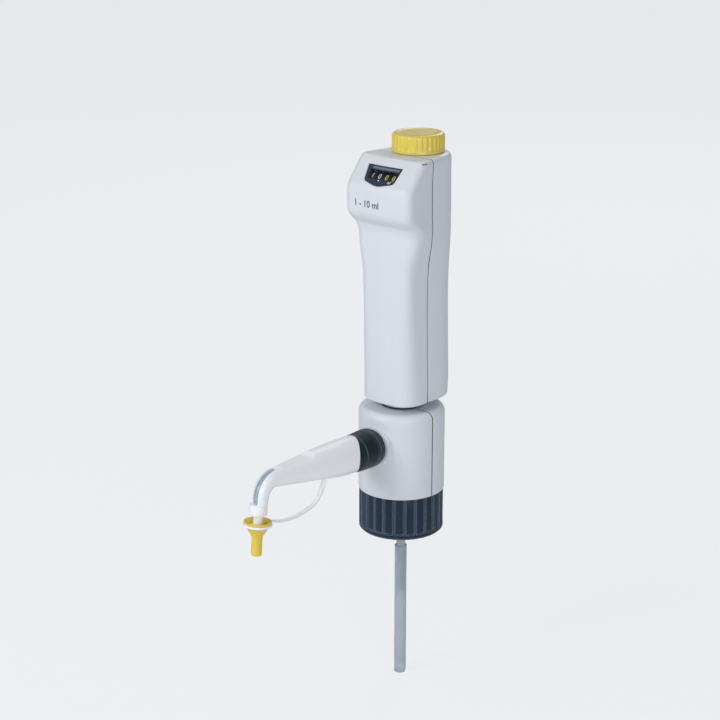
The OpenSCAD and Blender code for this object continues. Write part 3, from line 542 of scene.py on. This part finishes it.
def housingSections():
    # height, half width, front, corner radius, rear radius and inset of each ring, from the foot to the top
    sections = []
    first = housing["levels"][0]
    for i in range(5):
        t = i * pi / 8
        sections.append((housing["bottomZ"] + housing["footRound"] * (1 - cos(t)), *first[1:],
                         housing["footRound"] * (1 - sin(t))))
    for z in [z for steps in housing["levelSteps"] for z in spread(*steps)]:
        sections.append((z, *through(housing["levels"], z), 0))
    slopeEnd = housing["topZ"] - housing["edgeRound"]
    headSteps = [*housing["headSteps"], (housing["headSteps"][-1][1], slopeEnd, 6)]
    for z in [z for steps in headSteps for z in spread(*steps)]:
        share = max(0.0, (z - housing["browZ"]) / (slopeEnd - housing["browZ"]))
        eased = min(1.0, (z - housing["headZ"]) / housing["rearEase"])
        sections.append((z, housing["headHalfW"] - housing["headTaper"] * share, headFrontAt(z), housing["headCorner"],
                         housing["bellyRear"] + (housing["headRear"] - housing["bellyRear"]) * eased, 0))
    for i in range(1, 9):
        t = i * pi / 16
        depth, drawn = housing["edgeRound"] * (1 - sin(t)), housing["edgeRound"] * (1 - cos(t))
        sections.append((housing["topZ"] - depth, housing["headHalfW"] - housing["headTaper"],
                         crownFront(depth) + drawn, housing["headCorner"], housing["headRear"], drawn))
    return sections


def neckArc(count, seamY, front):
    # the way in for the neck, half of a circle up to the seam
    t = asin(-seamY / housing["neckHole"])
    span = spread(pi + t, 2 * pi - t, count - 1, True) if front else spread(-t, pi + t, count - 1, True)
    return [(*polar(a, housing["neckHole"]), housing["bottomZ"]) for a in span]


def frontSag(x):
    # how far the flat of the front falls back towards its corners
    frontAt, _, _, a, _ = housingArcs(housing["headHalfW"], housing["headFront"], housing["headCorner"],
                                      housing["headRear"])
    bend = frontAt + polar(a, housing["frontCurve"])
    if abs(x) < bend.x:
        return frontAt.y - sqrt(housing["frontCurve"] ** 2 - x * x) + housing["headFront"]
    return bend.y + housing["headFront"] + (abs(x) - bend.x) * -1 / tan(a)


def onSlope(x, up, out):
    return (x, -housing["topFront"] + up * cos(slopeTilt) - out * sin(slopeTilt) + frontSag(x),
            housing["topZ"] + up * sin(slopeTilt) + out * cos(slopeTilt))


display = {
    "top": 6.2, "halfTop": 13.2, "lowCorner": (9.2, -15.2, 2.6), "bowl": (0, -4.9, 15.0),
    # left, right and height of the opening at its top and at its foot
    "openTop": (-9.8, 11.7, -9.2), "openFoot": (-9.3, 10.8, -15.3), "thick": 2.0,
    "bar": (-8.8, 11.8, -8.6, -7.2),
}


def hull(points):
    points = sorted(set(points))

    def chain(seq):
        out = []
        for p in seq:
            while len(out) > 1 and ((out[-1][0] - out[-2][0]) * (p[1] - out[-2][1])
                                    - (out[-1][1] - out[-2][1]) * (p[0] - out[-2][0])) <= 0:
                out.pop()
            out.append(p)
        return out[:-1]

    return chain(points) + chain(points[::-1])


def alongPath(path, count):
    # count steps of equal length, first point kept and last left out
    lengths = [0.0]
    for a, b in zip(path, path[1:]):
        lengths.append(lengths[-1] + hypot(b[0] - a[0], b[1] - a[1]))
    made = []
    for i in range(count):
        at = lengths[-1] * i / count
        k = max(n for n in range(len(path) - 1) if lengths[n] <= at)
        t = (at - lengths[k]) / (lengths[k + 1] - lengths[k])
        (x0, y0), (x1, y1) = path[k], path[k + 1]
        made.append((x0 + (x1 - x0) * t, y0 + (y1 - y0) * t))
    return made


def windowOutline(grow=0.0):
    # clockwise from the top left corner: 24 steps along the top, 40 round the bowl
    top, half = -display["top"] + grow, display["halfTop"] + grow
    cornerX, cornerUp, cornerRadius = display["lowCorner"]
    cloud = [(-half, top), (half, top)]
    for cx, cy, r in [(cornerX, cornerUp, cornerRadius), (-cornerX, cornerUp, cornerRadius), display["bowl"]]:
        cloud += [p for p in roundPoints(r + grow, 96, (cx, cy)) if p[1] < cornerUp and (cx or abs(p[0]) < cornerX)]
    edge = hull(cloud)
    start = edge.index(max(edge))
    edge = edge[start:] + edge[:start]       # counterclockwise: top right, top left, then round the bowl
    return alongPath([edge[1], edge[0]], 24) + alongPath([edge[0]] + edge[:0:-1], 40)


def apertureOutline(grow=0.0):
    (left, right, top), (footLeft, footRight, foot) = display["openTop"], display["openFoot"]
    corners = [(left - grow, top + grow), (right + grow, top + grow), (footRight + grow, foot - grow),
               (footLeft - grow, foot - grow), (left - grow, top + grow)]
    made = []
    for (a, b), steps in zip(zip(corners, corners[1:]), (24, 8, 24, 8)):
        made += alongPath([a, b], steps)
    return made


def slopeLoft(name, rows, ends="capped"):
    # rows: an outline on the display's slope, and how far out it lies
    return loft(name, [[onSlope(x, up, out) for x, up in outline] for outline, out in rows], ends)


def boxTool(name, low, high):
    x0, y0, z0 = low
    x1, y1, z1 = high
    base = [(x0, y0), (x1, y0), (x1, y1), (x0, y1)]
    return loft(name, [[(x, y, z) for x, y in base] for z in (z0, z1)])


def rodAlongY(name, centre, radius, ends):
    return loft(name, [ringAlongY(centre, radius, y, 48) for y in ends])


def buildHousing():
    sections = housingSections()
    skins = []
    for name, seamY, front in [("frontShell", housing["seamFront"], True), ("rearShell", housing["seamRear"], False)]:
        rings = [shellRing(section, seamY, front) for section in sections]
        rings.insert(0, neckArc(len(rings[0]), seamY, front))
        skin = loft(name, rings, "topped", closed=False)
        faceAwayFrom(skin, (0, -12 if front else 8, 165))
        giveWall(skin, housing["wall"])
        softenEdges(skin, housing["seamRound"])
        skins.append(skin)
    front, rear = skins
    opening = windowOutline(0.1)
    cut(front, slopeLoft("windowTool", [(opening, -9), (opening, -0.35), (windowOutline(1.2), 0.75)]))
    x0, x1, y0, y1, z0, z1 = housing["notch"]
    cut(front, boxTool("notchTool", (x0, y0, z0), (x1, y1, z1)))
    for x, z, seat in housing["screws"]:
        cut(rear, rodAlongY("screwTool", (x, z), housing["wellRadius"], (seat + 0.5, 60)))
    hole = roundPoints(housing["spindleHole"], 48, housing["spindleAt"])
    cut(rear, loft("spindleTool", [[(x, y, z) for x, y in hole] for z in (235, 250)]))
    dress(front, "housingWhite", "housing", ["front_shell"])
    dress(rear, "housingWhite", "housing", ["rear_shell"])
    inner, rim = housing["wellRadius"], housing["wellRim"]
    for i, (x, z, seat) in enumerate(housing["screws"]):
        well = loft("screwWell%d" % i, [ringAlongY((x, z), inner, seat), wellMouth((x, z), inner, seat, 0.3),
                                        wellMouth((x, z), rim, seat, 0.7), ringAlongY((x, z), rim, seat)], "joined")
        dress(well, "housingWhite", "housing")


def wellMouth(centre, radius, seat, sink):
    # a ring round a screw, sunk below the skin of the rear shell, and at least 0.3 mm out from the seat
    ring = []
    for x, _, z in ringAlongY(centre, radius, seat):
        reach = through(housing["levels"], z)[3] if z < housing["headZ"] else housing["headRear"]
        skin = housing["rearY"] + sqrt(max(0.0, reach ** 2 - x ** 2))
        ring.append((x, max(seat + 0.3, skin - sink), z))
    return ring


buildHousing()
print("housing built")


# display

def buildDisplay():
    outer, inner, pane, under = windowOutline(), apertureOutline(), apertureOutline(-0.1), -display["thick"]
    bezel = slopeLoft("displayBezel", [
        (outer, under), (outer, -0.22), (windowOutline(-0.15), -0.08), (apertureOutline(0.35), -0.08), (inner, -0.5),
        (inner, under)], "joined")
    dress(bezel, "bezelNavy", "housing", ["display_bezel"])
    lens = slopeLoft("displayLens", [(pane, -1.3), (pane, -0.62), (apertureOutline(-0.2), -0.52)])
    dress(lens, "lensClear", "housing", ["display_lens"])
    x0, x1, low, high = display["bar"]
    strip = loft("displayBar", [
        [onSlope(x, up, out) for up, out in [(low, -0.15), (high, -0.15), (high, -0.04), (high - 0.05, -0.02),
                                             (low + 0.05, -0.02), (low, -0.04)]]
        for x in spread(x0, x1, 30, True)])
    dress(strip, "barBlue", "housing")


buildDisplay()
print("display built")


# lettering: generic numbers and units

def flatText(name, words, size, stretch, slant=0.0, thick=0.03, weight=0.0):
    clearSelection()
    bpy.ops.object.text_add()
    text = bpy.context.object
    text.data.body = words
    text.data.size = size * mm
    text.data.align_x = "CENTER"
    text.data.offset = weight * mm
    text.data.align_y = "CENTER"
    text.data.extrude = thick * mm
    text.data.shear = slant
    text.data.resolution_u = 6
    bpy.ops.object.convert(target="MESH")
    text = bpy.context.object
    text.name = text.data.name = name
    bpy.ops.object.mode_set(mode="EDIT")
    bpy.ops.mesh.select_all(action="SELECT")
    bpy.ops.mesh.remove_doubles(threshold=1e-7)
    bpy.ops.transform.resize(value=(stretch, 1, 1), center_override=(0, 0, 0))
    for step in range(-6, 7):      # cuts across, so that the strokes can follow a curve
        bpy.ops.mesh.select_all(action="SELECT")
        bpy.ops.mesh.bisect(plane_co=(0, step * size * mm / 10, 0), plane_no=(0, 1, 0))
    bpy.ops.object.mode_set(mode="OBJECT")
    return text


def bendOnto(piece, placed):
    for vert in piece.data.vertices:
        x, y, z = vert.co / mm
        vert.co = Vector(placed(x, y, z)) * mm


lettering = {
    # words, size and place
    "range": ("1 - 10 ml", 5.9, -6.6, 215.5), "unit": ("ml", 2.5, 7.9, -16.6),
    # the decimal point's place, and the radius and level of its rings
    "dotAt": (-0.2, -16.2), "dot": [(0.42, -0.1), (0.42, -0.06), (0.3, -0.03)],
}


def buildLettering():
    words, size, x0, z0 = lettering["range"]
    mark = flatText("rangeText", words, size, 0.93, thick=0.02, weight=0.11)
    bendOnto(mark, lambda x, y, z: (x0 + x, -housing["headFront"] + frontSag(x0 + x) - z, z0 + y))
    dress(mark, "printGrey", "housing")
    words, size, x0, up0 = lettering["unit"]
    mark = flatText("unitText", words, size, 0.95, slant=0.2, thick=0.02)
    bendOnto(mark, lambda x, y, z: onSlope(x0 + x, up0 + y, -0.06 + z))
    dress(mark, "digitWhite", "housing")
    dot = slopeLoft("decimalDot", [(roundPoints(r, 20, lettering["dotAt"]), out) for r, out in lettering["dot"]])
    dress(dot, "digitWhite", "housing")


counter = {
    "axis": (-12.2887, 226.5985), "radius": 8.0, "pitch": 5.4, "digit": 4.8, "aside": -0.6,
    "wheels": [("tens", 1, "digitWhite"), ("units", 0, "digitWhite"),
               ("tenths", 0, "digitYellow"), ("hundredths", 0, "digitYellow")],
}


def buildWheels():
    axisY, axisZ = counter["axis"]
    facing = pi / 2 + slopeTilt      # direction of the window as seen from the counter's axis
    for place, (body, shown, look) in enumerate(counter["wheels"]):
        x0 = (place - 1.5) * counter["pitch"] + counter["aside"]
        marks = []
        for digit in range(10):
            turn = facing - (digit - shown) * 2 * pi / 10
            mark = flatText("%sDigit%d" % (body, digit), str(digit), counter["digit"], 0.86, slant=0.15, weight=0.05)

            def wrapped(x, y, z, turn=turn):
                a = turn - y / counter["radius"]
                r = counter["radius"] + 0.02 + z
                return x0 + x, axisY + r * cos(a), axisZ + r * sin(a)

            bendOnto(mark, wrapped)
            marks.append(mark)
        joinInto(marks[0], marks[1:])
        marks[0].name = marks[0].data.name = body + "Digits"
        dress(marks[0], look, body)


buildLettering()
buildWheels()
print("lettering and digit wheels built")


# volume knob

knob = {"at": (0, 14.2), "baseZ": 243.3, "radius": 16.35, "flutes": 32, "fluteRadius": 1.7, "fluteDepth": 0.45,
        "skirt": 2.0, "height": 11.4, "edge": 2.4, "wall": 2.2, "boss": 5.5, "shaftHole": 2.52, "holeTop": 4.7}


def groovedRing(z, radius, grooves, steps, depthAt, centre=(0, 0)):
    # depthAt: depth by the place in a groove, 0 in its middle and 1 between two grooves
    count = grooves * steps
    ring = []
    for i in range(count):
        r = radius - depthAt(abs((i % steps) / steps - 0.5) * 2)
        a = 2 * pi * i / count
        ring.append((centre[0] + r * cos(a), centre[1] + r * sin(a), z))
    return ring


def knobRing(z, radius, share):
    halfPitch = pi * knob["radius"] / knob["flutes"]

    def depthAt(place):
        arc = sqrt(max(0.0, knob["fluteRadius"] ** 2 - (place * halfPitch) ** 2))
        return share * max(0.0, knob["fluteDepth"] - knob["fluteRadius"] + arc)

    return groovedRing(knob["baseZ"] + z, radius, knob["flutes"], 10, depthAt, knob["at"])


def buildKnob():
    big, edge, top = knob["radius"], knob["edge"], knob["height"]
    inner, roof, hole, boss = big - knob["wall"], top - knob["wall"], knob["shaftHole"], knob["boss"]
    rings = [knobRing(knob["holeTop"], hole, 0), knobRing(0, hole, 0), knobRing(0, boss, 0), knobRing(roof, boss, 0),
             knobRing(roof, inner, 0), knobRing(0.2, inner, 0), knobRing(0, inner + 0.2, 0),
             knobRing(0, big - 0.2, 0), knobRing(0.2, big, 0), knobRing(knob["skirt"], big, 0),
             knobRing(knob["skirt"] + 0.3, big, 1), knobRing(5, big, 1), knobRing(7.5, big, 1)]
    for i in range(9):
        t = i * pi / 16
        rings.append(knobRing(top - edge + edge * sin(t), big - edge * (1 - cos(t)), max(0.0, 1 - i / 7)))
    rings += [knobRing(top, big - 3.2, 0), knobRing(top - 0.12, big - 3.6, 0), knobRing(top - 0.08, 9, 0),
              knobRing(top - 0.02, 4, 0), knobRing(top, 1, 0)]
    piece = loft("volumeKnobGrip", rings)
    dress(piece, "knobYellow", "knob", ["volume_knob"], smoothAngle=40)


buildKnob()
print("volume knob built")


# collar

collar = {"radius": 27.0, "height": 27.5, "ribs": 24, "ribShare": 0.24, "depth": 0.8, "fluteZ": 3.5,
          "ribSlope": 0.05, "bore": 22.6, "boreTop": 21.0, "neck": 20.05}


def collarRing(z, radius, share):
    def depthAt(place):
        lift = min(1.0, max(0.0, (place - (1 - collar["ribShare"] - collar["ribSlope"])) / collar["ribSlope"]))
        return share * collar["depth"] * (1 - lift)

    return groovedRing(z, radius, collar["ribs"], 14, depthAt)


def buildCollar():
    big, top = collar["radius"], collar["height"]
    rings = [collarRing(z, r, share) for r, z, share in [
        (collar["bore"] + 0.4, 0, 0), (big - 1.4, 0, 0), (big - 1.1, 0.12, 0), (big - 0.15, 1.05, 0), (big, 1.3, 0),
        (big, collar["fluteZ"] - 0.1, 0), (big, collar["fluteZ"] + 0.5, 1), (big, 12, 1), (big, 20, 1),
        (big, top - 0.6, 1), (big - 0.1, top - 0.3, 1), (big - 0.35, top, 0.8), (collar["neck"], top, 0),
        (collar["neck"], collar["boreTop"], 0), (collar["bore"], collar["boreTop"], 0), (collar["bore"], 0.4, 0)]]
    piece = loft("screwCollar", rings, "joined")
    dress(piece, "collarBlue", "collar", ["bottle_collar"], smoothAngle=30)


buildCollar()
print("collar built")


# valve block

block = {"radius": 27.36, "bottomZ": 27.6, "topZ": 83.0, "soft": 4.5, "wall": 2.0, "neckHole": 12.8,
         "seamFront": -2.8, "seamRear": -2.2, "seamRound": 0.18, "steps": 80,
         "spoutZ": 62.0, "seatRadius": 12.8, "seatFront": 28.1, "bossHole": 10.55,
         "screws": [(x, z) for x in (-18, 18) for z in (40, 70)], "screwSeat": 16, "wellRadius": 2.7, "wellRim": 3.3,
         "ventAt": (0, 71), "ventHole": 3.6}


def blockArc(radius, z, front):
    t = asin((block["seamFront"] if front else block["seamRear"]) / -radius)
    span = (pi + t, 2 * pi - t) if front else (-t, pi + t)
    return [(*polar(a, radius), z) for a in spread(*span, block["steps"], True)]


def buildBlock():
    big, soft = block["radius"], block["soft"]
    profile = [(big - 0.35, block["bottomZ"]), (big - 0.1, block["bottomZ"] + 0.1), (big, block["bottomZ"] + 0.35)]
    profile += [(big, z) for z in spread(block["bottomZ"] + 0.35, block["topZ"] - soft, 12)]
    profile += [(big - soft + soft * cos(t), block["topZ"] - soft + soft * sin(t)) for t in spread(0, pi / 2, 10)]
    profile += [(r, block["topZ"]) for r in spread(big - soft, block["neckHole"], 4)]
    covers = []
    for name, front in [("frontCover", True), ("rearCover", False)]:
        cover = loft(name, [blockArc(r, z, front) for r, z in profile], "open", closed=False)
        faceAwayFrom(cover, (0, 0, 50))
        giveWall(cover, block["wall"])
        softenEdges(cover, block["seamRound"])
        covers.append(cover)
    front, rear = covers
    seat = loft("spoutSeat", [aroundSpout(r, along) for r, along in [
        (block["seatRadius"], 23), (block["seatRadius"], block["seatFront"] - 0.7),
        (block["seatRadius"] - 0.2, block["seatFront"] - 0.2), (block["seatRadius"] - 0.7, block["seatFront"]),
        (9, block["seatFront"])]])
    cut(front, seat, "UNION")
    boss = [aroundSpout(block["bossHole"], along) for along in (10, 40)]
    cut(front, loft("bossTool", boss))
    inner, rim, screwSeat = block["wellRadius"], block["wellRim"], block["screwSeat"]
    for centre in block["screws"]:
        cut(rear, rodAlongY("screwTool", centre, inner, (screwSeat + 0.5, 60)))
    cut(rear, rodAlongY("ventTool", block["ventAt"], block["ventHole"], (10, 60)))
    dress(front, "blockWhite", "valve_block", ["front_cover"])
    dress(rear, "blockWhite", "valve_block", ["rear_cover"])
    for i, centre in enumerate(block["screws"]):
        mouth = sqrt((big - 0.8) ** 2 - (abs(centre[0]) + rim) ** 2)
        well = loft("blockWell%d" % i, [ringAlongY(centre, r, y) for r, y in [
            (inner, screwSeat), (inner, mouth), (rim, mouth), (rim, screwSeat)]], "joined")
        dress(well, "blockWhite", "valve_block")


def aroundSpout(radius, along):
    # a ring about the spout's axis, at a distance in front of the bottle's axis
    return [(x, -along, block["spoutZ"] + up) for up, x in roundPoints(radius, 96)]


buildBlock()
print("valve block built")


# spout sleeve

sleeve = {"bore": 10.42, "archRadius": 14.0, "archCentre": 39.0, "wide": 12.4, "narrow": 11.6, "taperStart": 34.7,
          "taperEnd": 54.0, "step": 46.0, "stepDepth": 0.2, "stepRun": 0.25, "back": 29.2,
          # radius and distance of the rings of its foot
          "foot": [(11.3, 29.2), (11.3, 30.75), (11.9, 30.95), (12.2, 31.4), (12.37, 32.4), (12.4, 33.0), (12.4, 33.5),
                   (12.3, 33.62), (12.02, 33.75), (12.02, 34.4), (12.3, 34.52), (12.4, 34.7)]}


def archAt(height, grow=0.0):
    # how far out the arched joint lies at a height above the spout's axis
    return sleeve["archCentre"] + sqrt((sleeve["archRadius"] + grow) ** 2 - height * height)


def buildSleeve():
    start, step, run, bore = sleeve["taperStart"], sleeve["step"], sleeve["stepRun"], sleeve["bore"]
    taper = (sleeve["narrow"] - sleeve["wide"]) / (sleeve["taperEnd"] - start)
    rings = [aroundSpout(r, along) for r, along in [(bore, sleeve["back"]), *sleeve["foot"]]]
    for share in (0.3, 0.6, 0.9):
        along = start + (step - start) * share
        rings.append(aroundSpout(sleeve["wide"] + taper * (along - start), along))
    atStep = sleeve["wide"] + taper * (step - start)
    rings += [aroundSpout(atStep, step), aroundSpout(atStep - sleeve["stepDepth"], step + run)]
    # on to the arched rim with its rounded edge, and back into the bore
    for share, drop, back in [(0.5, 0, 0), (1, 0, 0.35), (1, 0.1, 0.1), (1, 0.35, 0), (1, None, 0)]:
        ring = []
        for up, across in roundPoints(1, 96):
            end = archAt(11 * up) - back
            along = step + run + (end - step - run) * share
            r = sleeve["wide"] + taper * (along - start) - sleeve["stepDepth"] - (drop or 0)
            if drop is None:
                r, along = bore, archAt(bore * up)
            ring.append((r * across, -along, block["spoutZ"] + r * up))
        rings.append(ring)
    piece = loft("spoutSleeve", rings, "joined")
    dress(piece, "sleeveBlue", "valve_block", ["spout_sleeve"])


buildSleeve()
print("sleeve built")


# spout

spout = {
    # distance, height, downward slope in degrees, radius
    "run": [(44, 62.3, 0, 11.6), (60, 62.95, -4, 11.45), (72, 63.95, -5, 10.55), (84, 65.05, -4, 9.45),
            (90, 65.45, -3.5, 8.85), (116, 67.05, -3, 5.95), (118.9, 67.25, 0, 5.65)],
    # distance and height of the flat on its top
    "land": [(70, 80), (81, 76), (86, 74.2), (89.1, 72.4), (90.6, 72.0), (112.4, 72.0), (113.2, 73.6)],
    "bendAt": (118.9, 56.45), "bendRadius": 10.8, "tubeRadius": 5.65, "dropRadius": 4.85,
    "end": (130.55, 53.0, 85.2, 4.7), "slotStart": 115.6, "slotHalf": 1.9, "slotFloor": 13.3, "spigot": 10.25,
    "tipReach": 131.15, "tipLean": 4.8, "endCollar": (5.35, 47.9, 54.4), "spigotBack": 33.0, "plainRadius": 11.5,
    # from, to and number of steps, then the rings between the land and the slot, and those at the slot's start
    "steps": [(57, 80, 9), (80, 91, 18), (91, 112.4, 12)], "lipRings": (112.6, 112.9, 113.2, 114.2, 115.5),
    "slotRings": (0.02, 0.15, 0.4, 0.8, 1.3, 1.9, 2.6, 3.2),
    "lineRadius": 1.6, "lineBend": 13.6, "lineStart": (33.5, 62.0), "lineRise": 8.05,
    "tipTube": [(1.0, 49.5), (1.0, 40.6), (1.15, 40.45), (2.45, 40.45), (2.7, 40.75), (2.7, 49.5)],
}
farOut = 99.0      # beyond any surface of the spout


def crossSection(r, top, slotHalf, floor):
    # right half of the outline from the slot's middle round to the bottom: distance across, and out from the path
    def surface(x):
        return min(top, sqrt(max(0.0, r * r - x * x)))

    corner = acos(min(1.0, max(-1.0, top / r)))
    turn = max(corner, radians(30))
    soft, lip = 0.25, 0.15
    edge = surface(slotHalf)
    deep = min(floor, edge)
    slotted = edge - deep > 1e-6
    half = [(x, deep if slotted else surface(x)) for x in (0.0, slotHalf * 0.6, slotHalf)]
    half += [(slotHalf, edge - lip if slotted else edge), (slotHalf + lip, surface(slotHalf + lip))]
    a, b = slotHalf + lip, r * sin(turn) - soft
    half += [(a + (b - a) * t, surface(a + (b - a) * t)) for t in (0.33, 0.66, 1.0)]
    after = turn + soft / r
    p0, p2 = Vector((b, surface(b))), Vector((r * sin(after), r * cos(after)))
    p1 = Vector((r * sin(turn), r * cos(turn)))
    half += [tuple(p0 * (1 - t) ** 2 + p1 * 2 * t * (1 - t) + p2 * t * t) for t in (0.35, 0.65)]
    half += [(r * sin(t), r * cos(t)) for t in spread(after, pi, 24, True)]
    return half


def fullSection(half):
    return half + [(-x, out) for x, out in half[-2:0:-1]]


def unitSection():
    # the plain outline, at a radius of 1
    r = spout["plainRadius"]
    return [(x / r, out / r) for x, out in fullSection(crossSection(r, farOut, spout["slotHalf"], farOut))]


def stationPoint(x, out, along, z, slope):
    return (x, -(along + out * sin(slope)), z + out * cos(slope))


def spoutRing(along, z, slope, r, slotHalf=spout["slotHalf"], floor=farOut):
    slope = radians(slope)
    land = through(spout["land"], along)[0] if spout["land"][0][0] < along < spout["land"][-1][0] else farOut
    top = (land - z) / cos(slope)
    return [stationPoint(x, out, along, z, slope) for x, out in fullSection(crossSection(r, top, slotHalf, floor))]


def archRing(radiusDrop, ahead, share=0.0):
    # a ring that follows the arched joint, or lies part of the way from it to the first plain ring
    ring = []
    for x, out in unitSection():
        along = 50.0
        for _ in range(8):
            z, slope, r = through(spout["run"], along)
            r -= radiusDrop
            height = z + r * out * cos(radians(slope)) - block["spoutZ"]
            goal = archAt(height, 0.3) + ahead
            goal += (spout["steps"][0][0] - goal) * share
            along = goal - r * out * sin(radians(slope)) * (1 - share)
        ring.append(stationPoint(x * r, out * r, along, z, radians(slope)))
    return ring


def onBend(angle, radius):
    return spout["bendAt"][0] + radius * sin(angle), spout["bendAt"][1] + radius * cos(angle)


def atTip(x, y, z):
    # carries a point that is turned about the tip's own axis to its leaning place
    lean, bendZ = radians(spout["tipLean"]), spout["bendAt"][1]
    dz = z - bendZ
    return (x, -spout["tipReach"] + y * cos(lean) + dz * sin(lean), bendZ - y * sin(lean) + dz * cos(lean))


def tipTurned(name, profile, ends="capped"):
    return loft(name, [[atTip(x, y, z) for x, y in roundPoints(r, 72)] for r, z in profile], ends)


def buildSpout():
    hidden = [(x * spout["spigot"], out * spout["spigot"]) for x, out in unitSection()]
    rings = [[(x, -spout["spigotBack"], block["spoutZ"] + out) for x, out in hidden]]
    rings.append([(x, -archAt(out, 0.3), block["spoutZ"] + out) for x, out in hidden])
    rings += [archRing(0.3, 0), archRing(0.08, 0.08), archRing(0, 0.3)]
    rings += [archRing(0, 0.3, share) for share in (0.25, 0.5, 0.75)]
    plain = [spout["steps"][0][0], *[along for steps in spout["steps"] for along in spread(*steps)], *spout["lipRings"]]
    for along in plain:
        rings.append(spoutRing(along, *through(spout["run"], along)))
    half, start = spout["slotHalf"], spout["slotStart"]
    floorOut = spout["slotFloor"] - spout["bendRadius"]
    for ahead in spout["slotRings"]:
        along = start + ahead
        width = half * sqrt(max(0.02, 1 - (1 - min(1, ahead / half)) ** 2))
        z, slope, r = through(spout["run"], along)
        rings.append(spoutRing(along, z, slope, r, width, spout["bendAt"][1] + spout["slotFloor"] - z))
    for angle in spread(0, pi / 2, 18):
        along, z = onBend(angle, spout["bendRadius"])
        r = spout["tubeRadius"] + (spout["dropRadius"] - spout["tubeRadius"]) * angle / (pi / 2)
        rings.append(spoutRing(along, z, angle * 180 / pi, r, half, floorOut))
    along, z, slope, r = spout["end"]
    rings.append(spoutRing(along, z, slope, r, half, floorOut))
    body = loft("spoutBody", rings)
    radius, low, high = spout["endCollar"]
    end = tipTurned("spoutEnd", [(2.75, low + 1), (2.75, low), (radius - 0.35, low), (radius - 0.1, low + 0.1),
                                 (radius, low + 0.35), (radius, high - 0.5), (radius - 0.15, high - 0.15),
                                 (radius - 0.5, high), (2.0, high)])
    joinInto(body, [end])
    dress(body, "spoutWhite", "valve_block", ["spout"], smoothAngle=40)


def tube(name, path, radii, count, flat=1.0):
    # a tube along points in the plane x = 0; radii is one value for each point
    rings = []
    for i, (along, z) in enumerate(path):
        (a0, z0), (a1, z1) = path[max(0, i - 1)], path[min(len(path) - 1, i + 1)]
        slope = atan2(z0 - z1, a1 - a0)
        rings.append([stationPoint(x, flat * out, along, z, slope) for out, x in roundPoints(radii[i], count)])
    return loft(name, rings)


def buildLine():
    z0 = spout["endCollar"][1] - 2
    (x0, lineZ), reach = spout["lineStart"], spout["bendAt"][0] - spout["lineStart"][0]
    path = [(x0 + reach * t, lineZ + spout["lineRise"] * t) for t in spread(0, 1, 12, True)]
    path = path[:-1] + [onBend(a, spout["lineBend"]) for a in spread(0, pi / 2, 24, True)]
    path += [(spout["tipReach"] + (spout["bendAt"][1] - z) * tan(radians(spout["tipLean"])), z) for z in (52, z0)]
    piece = tube("liquidLine", path, [spout["lineRadius"]] * len(path), 24)
    dress(piece, "lineBlue", "valve_block", ["discharge_tube"])
    tip = tipTurned("spoutTipTube", spout["tipTube"], "joined")
    dress(tip, "spoutWhite", "valve_block", ["spout_tip"])


buildSpout()
buildLine()
print("spout built")


# cap with its ring and strap

cap = {
    # radius and height of the rings of the cap and of the strap's ring
    "profile": [(2.8, 38.5), (2.8, 41.1), (3.0, 41.2), (5.5, 41.2), (5.6, 41.35), (5.6, 42.0), (7.7, 43.6),
                (7.9, 43.8), (8.25, 43.8), (8.45, 43.6), (8.45, 42.7), (8.3, 42.55), (8.0, 42.5), (8.0, 41.0),
                (7.9, 40.9), (7.3, 40.88), (3.55, 34.6), (3.4, 34.2), (3.4, 28), (3.4, 23.6), (3.3, 23.1),
                (3.05, 22.75), (2.7, 22.5), (2.35, 22.45), (2.3, 22.6), (2.3, 30.2)],
    "ring": [(8.02, 40.95), (8.55, 40.95), (8.7, 41.1), (8.79, 41.4), (8.79, 42.0), (8.7, 42.3), (8.5, 42.42),
             (8.02, 42.42)],
    # distance in front of the bottle's axis, and height
    "strap": [(73.5, 54.8), (73.8, 52.6), (75, 49), (77.6, 44.8), (80.6, 41.6), (84.6, 39.2), (91, 37.6), (98, 36.6),
              (105, 36.6), (112, 37.6), (118, 39.2), (124.3, 41.4)],
    "strapStart": 1.85, "strapEnd": 1.15, "strapFlat": 0.8, "facet": 3.15, "facetTurn": 49, "stem": (22.8, 34.5),
}


def smoothRoute(points, steps):
    route = []
    for i in range(len(points) - 1):
        p0, p1, p2, p3 = (Vector(points[max(0, min(len(points) - 1, k))]) for k in (i - 1, i, i + 1, i + 2))
        for s in range(steps):
            t = s / steps
            route.append(tuple(0.5 * (2 * p1 + (p2 - p0) * t + (2 * p0 - 5 * p1 + 4 * p2 - p3) * t * t
                                      + (3 * p1 - p0 - 3 * p2 + p3) * t**3)))
    return route + [tuple(points[-1])]


def buildCap():
    rings = []
    for r, z in cap["profile"]:
        ring = []
        for a in spread(0, 2 * pi, 96, True)[:-1]:
            reach = r
            if cap["stem"][0] < z < cap["stem"][1] and r > 3:      # the stem is flattened on two sides
                reach = min(r, cap["facet"] / max(1e-6, abs(cos(a - radians(cap["facetTurn"])))))
            ring.append(atTip(reach * cos(a), reach * sin(a), z))
        rings.append(ring)
    piece = loft("nozzleCapBody", rings)
    dress(piece, "capYellow", "cap", ["nozzle_cap"], smoothAngle=30)
    band = tipTurned("strapRingBand", cap["ring"], "joined")
    dress(band, "spoutWhite", "cap", ["strap_ring"])
    route = smoothRoute(cap["strap"], 5)
    radii = spread(cap["strapStart"], cap["strapEnd"], len(route) - 1, True)
    strap = tube("capStrapCord", route, radii, 16, cap["strapFlat"])
    dress(strap, "strapMilky", None, ["cap_strap"])
    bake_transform(strap)


buildCap()
print("cap built")
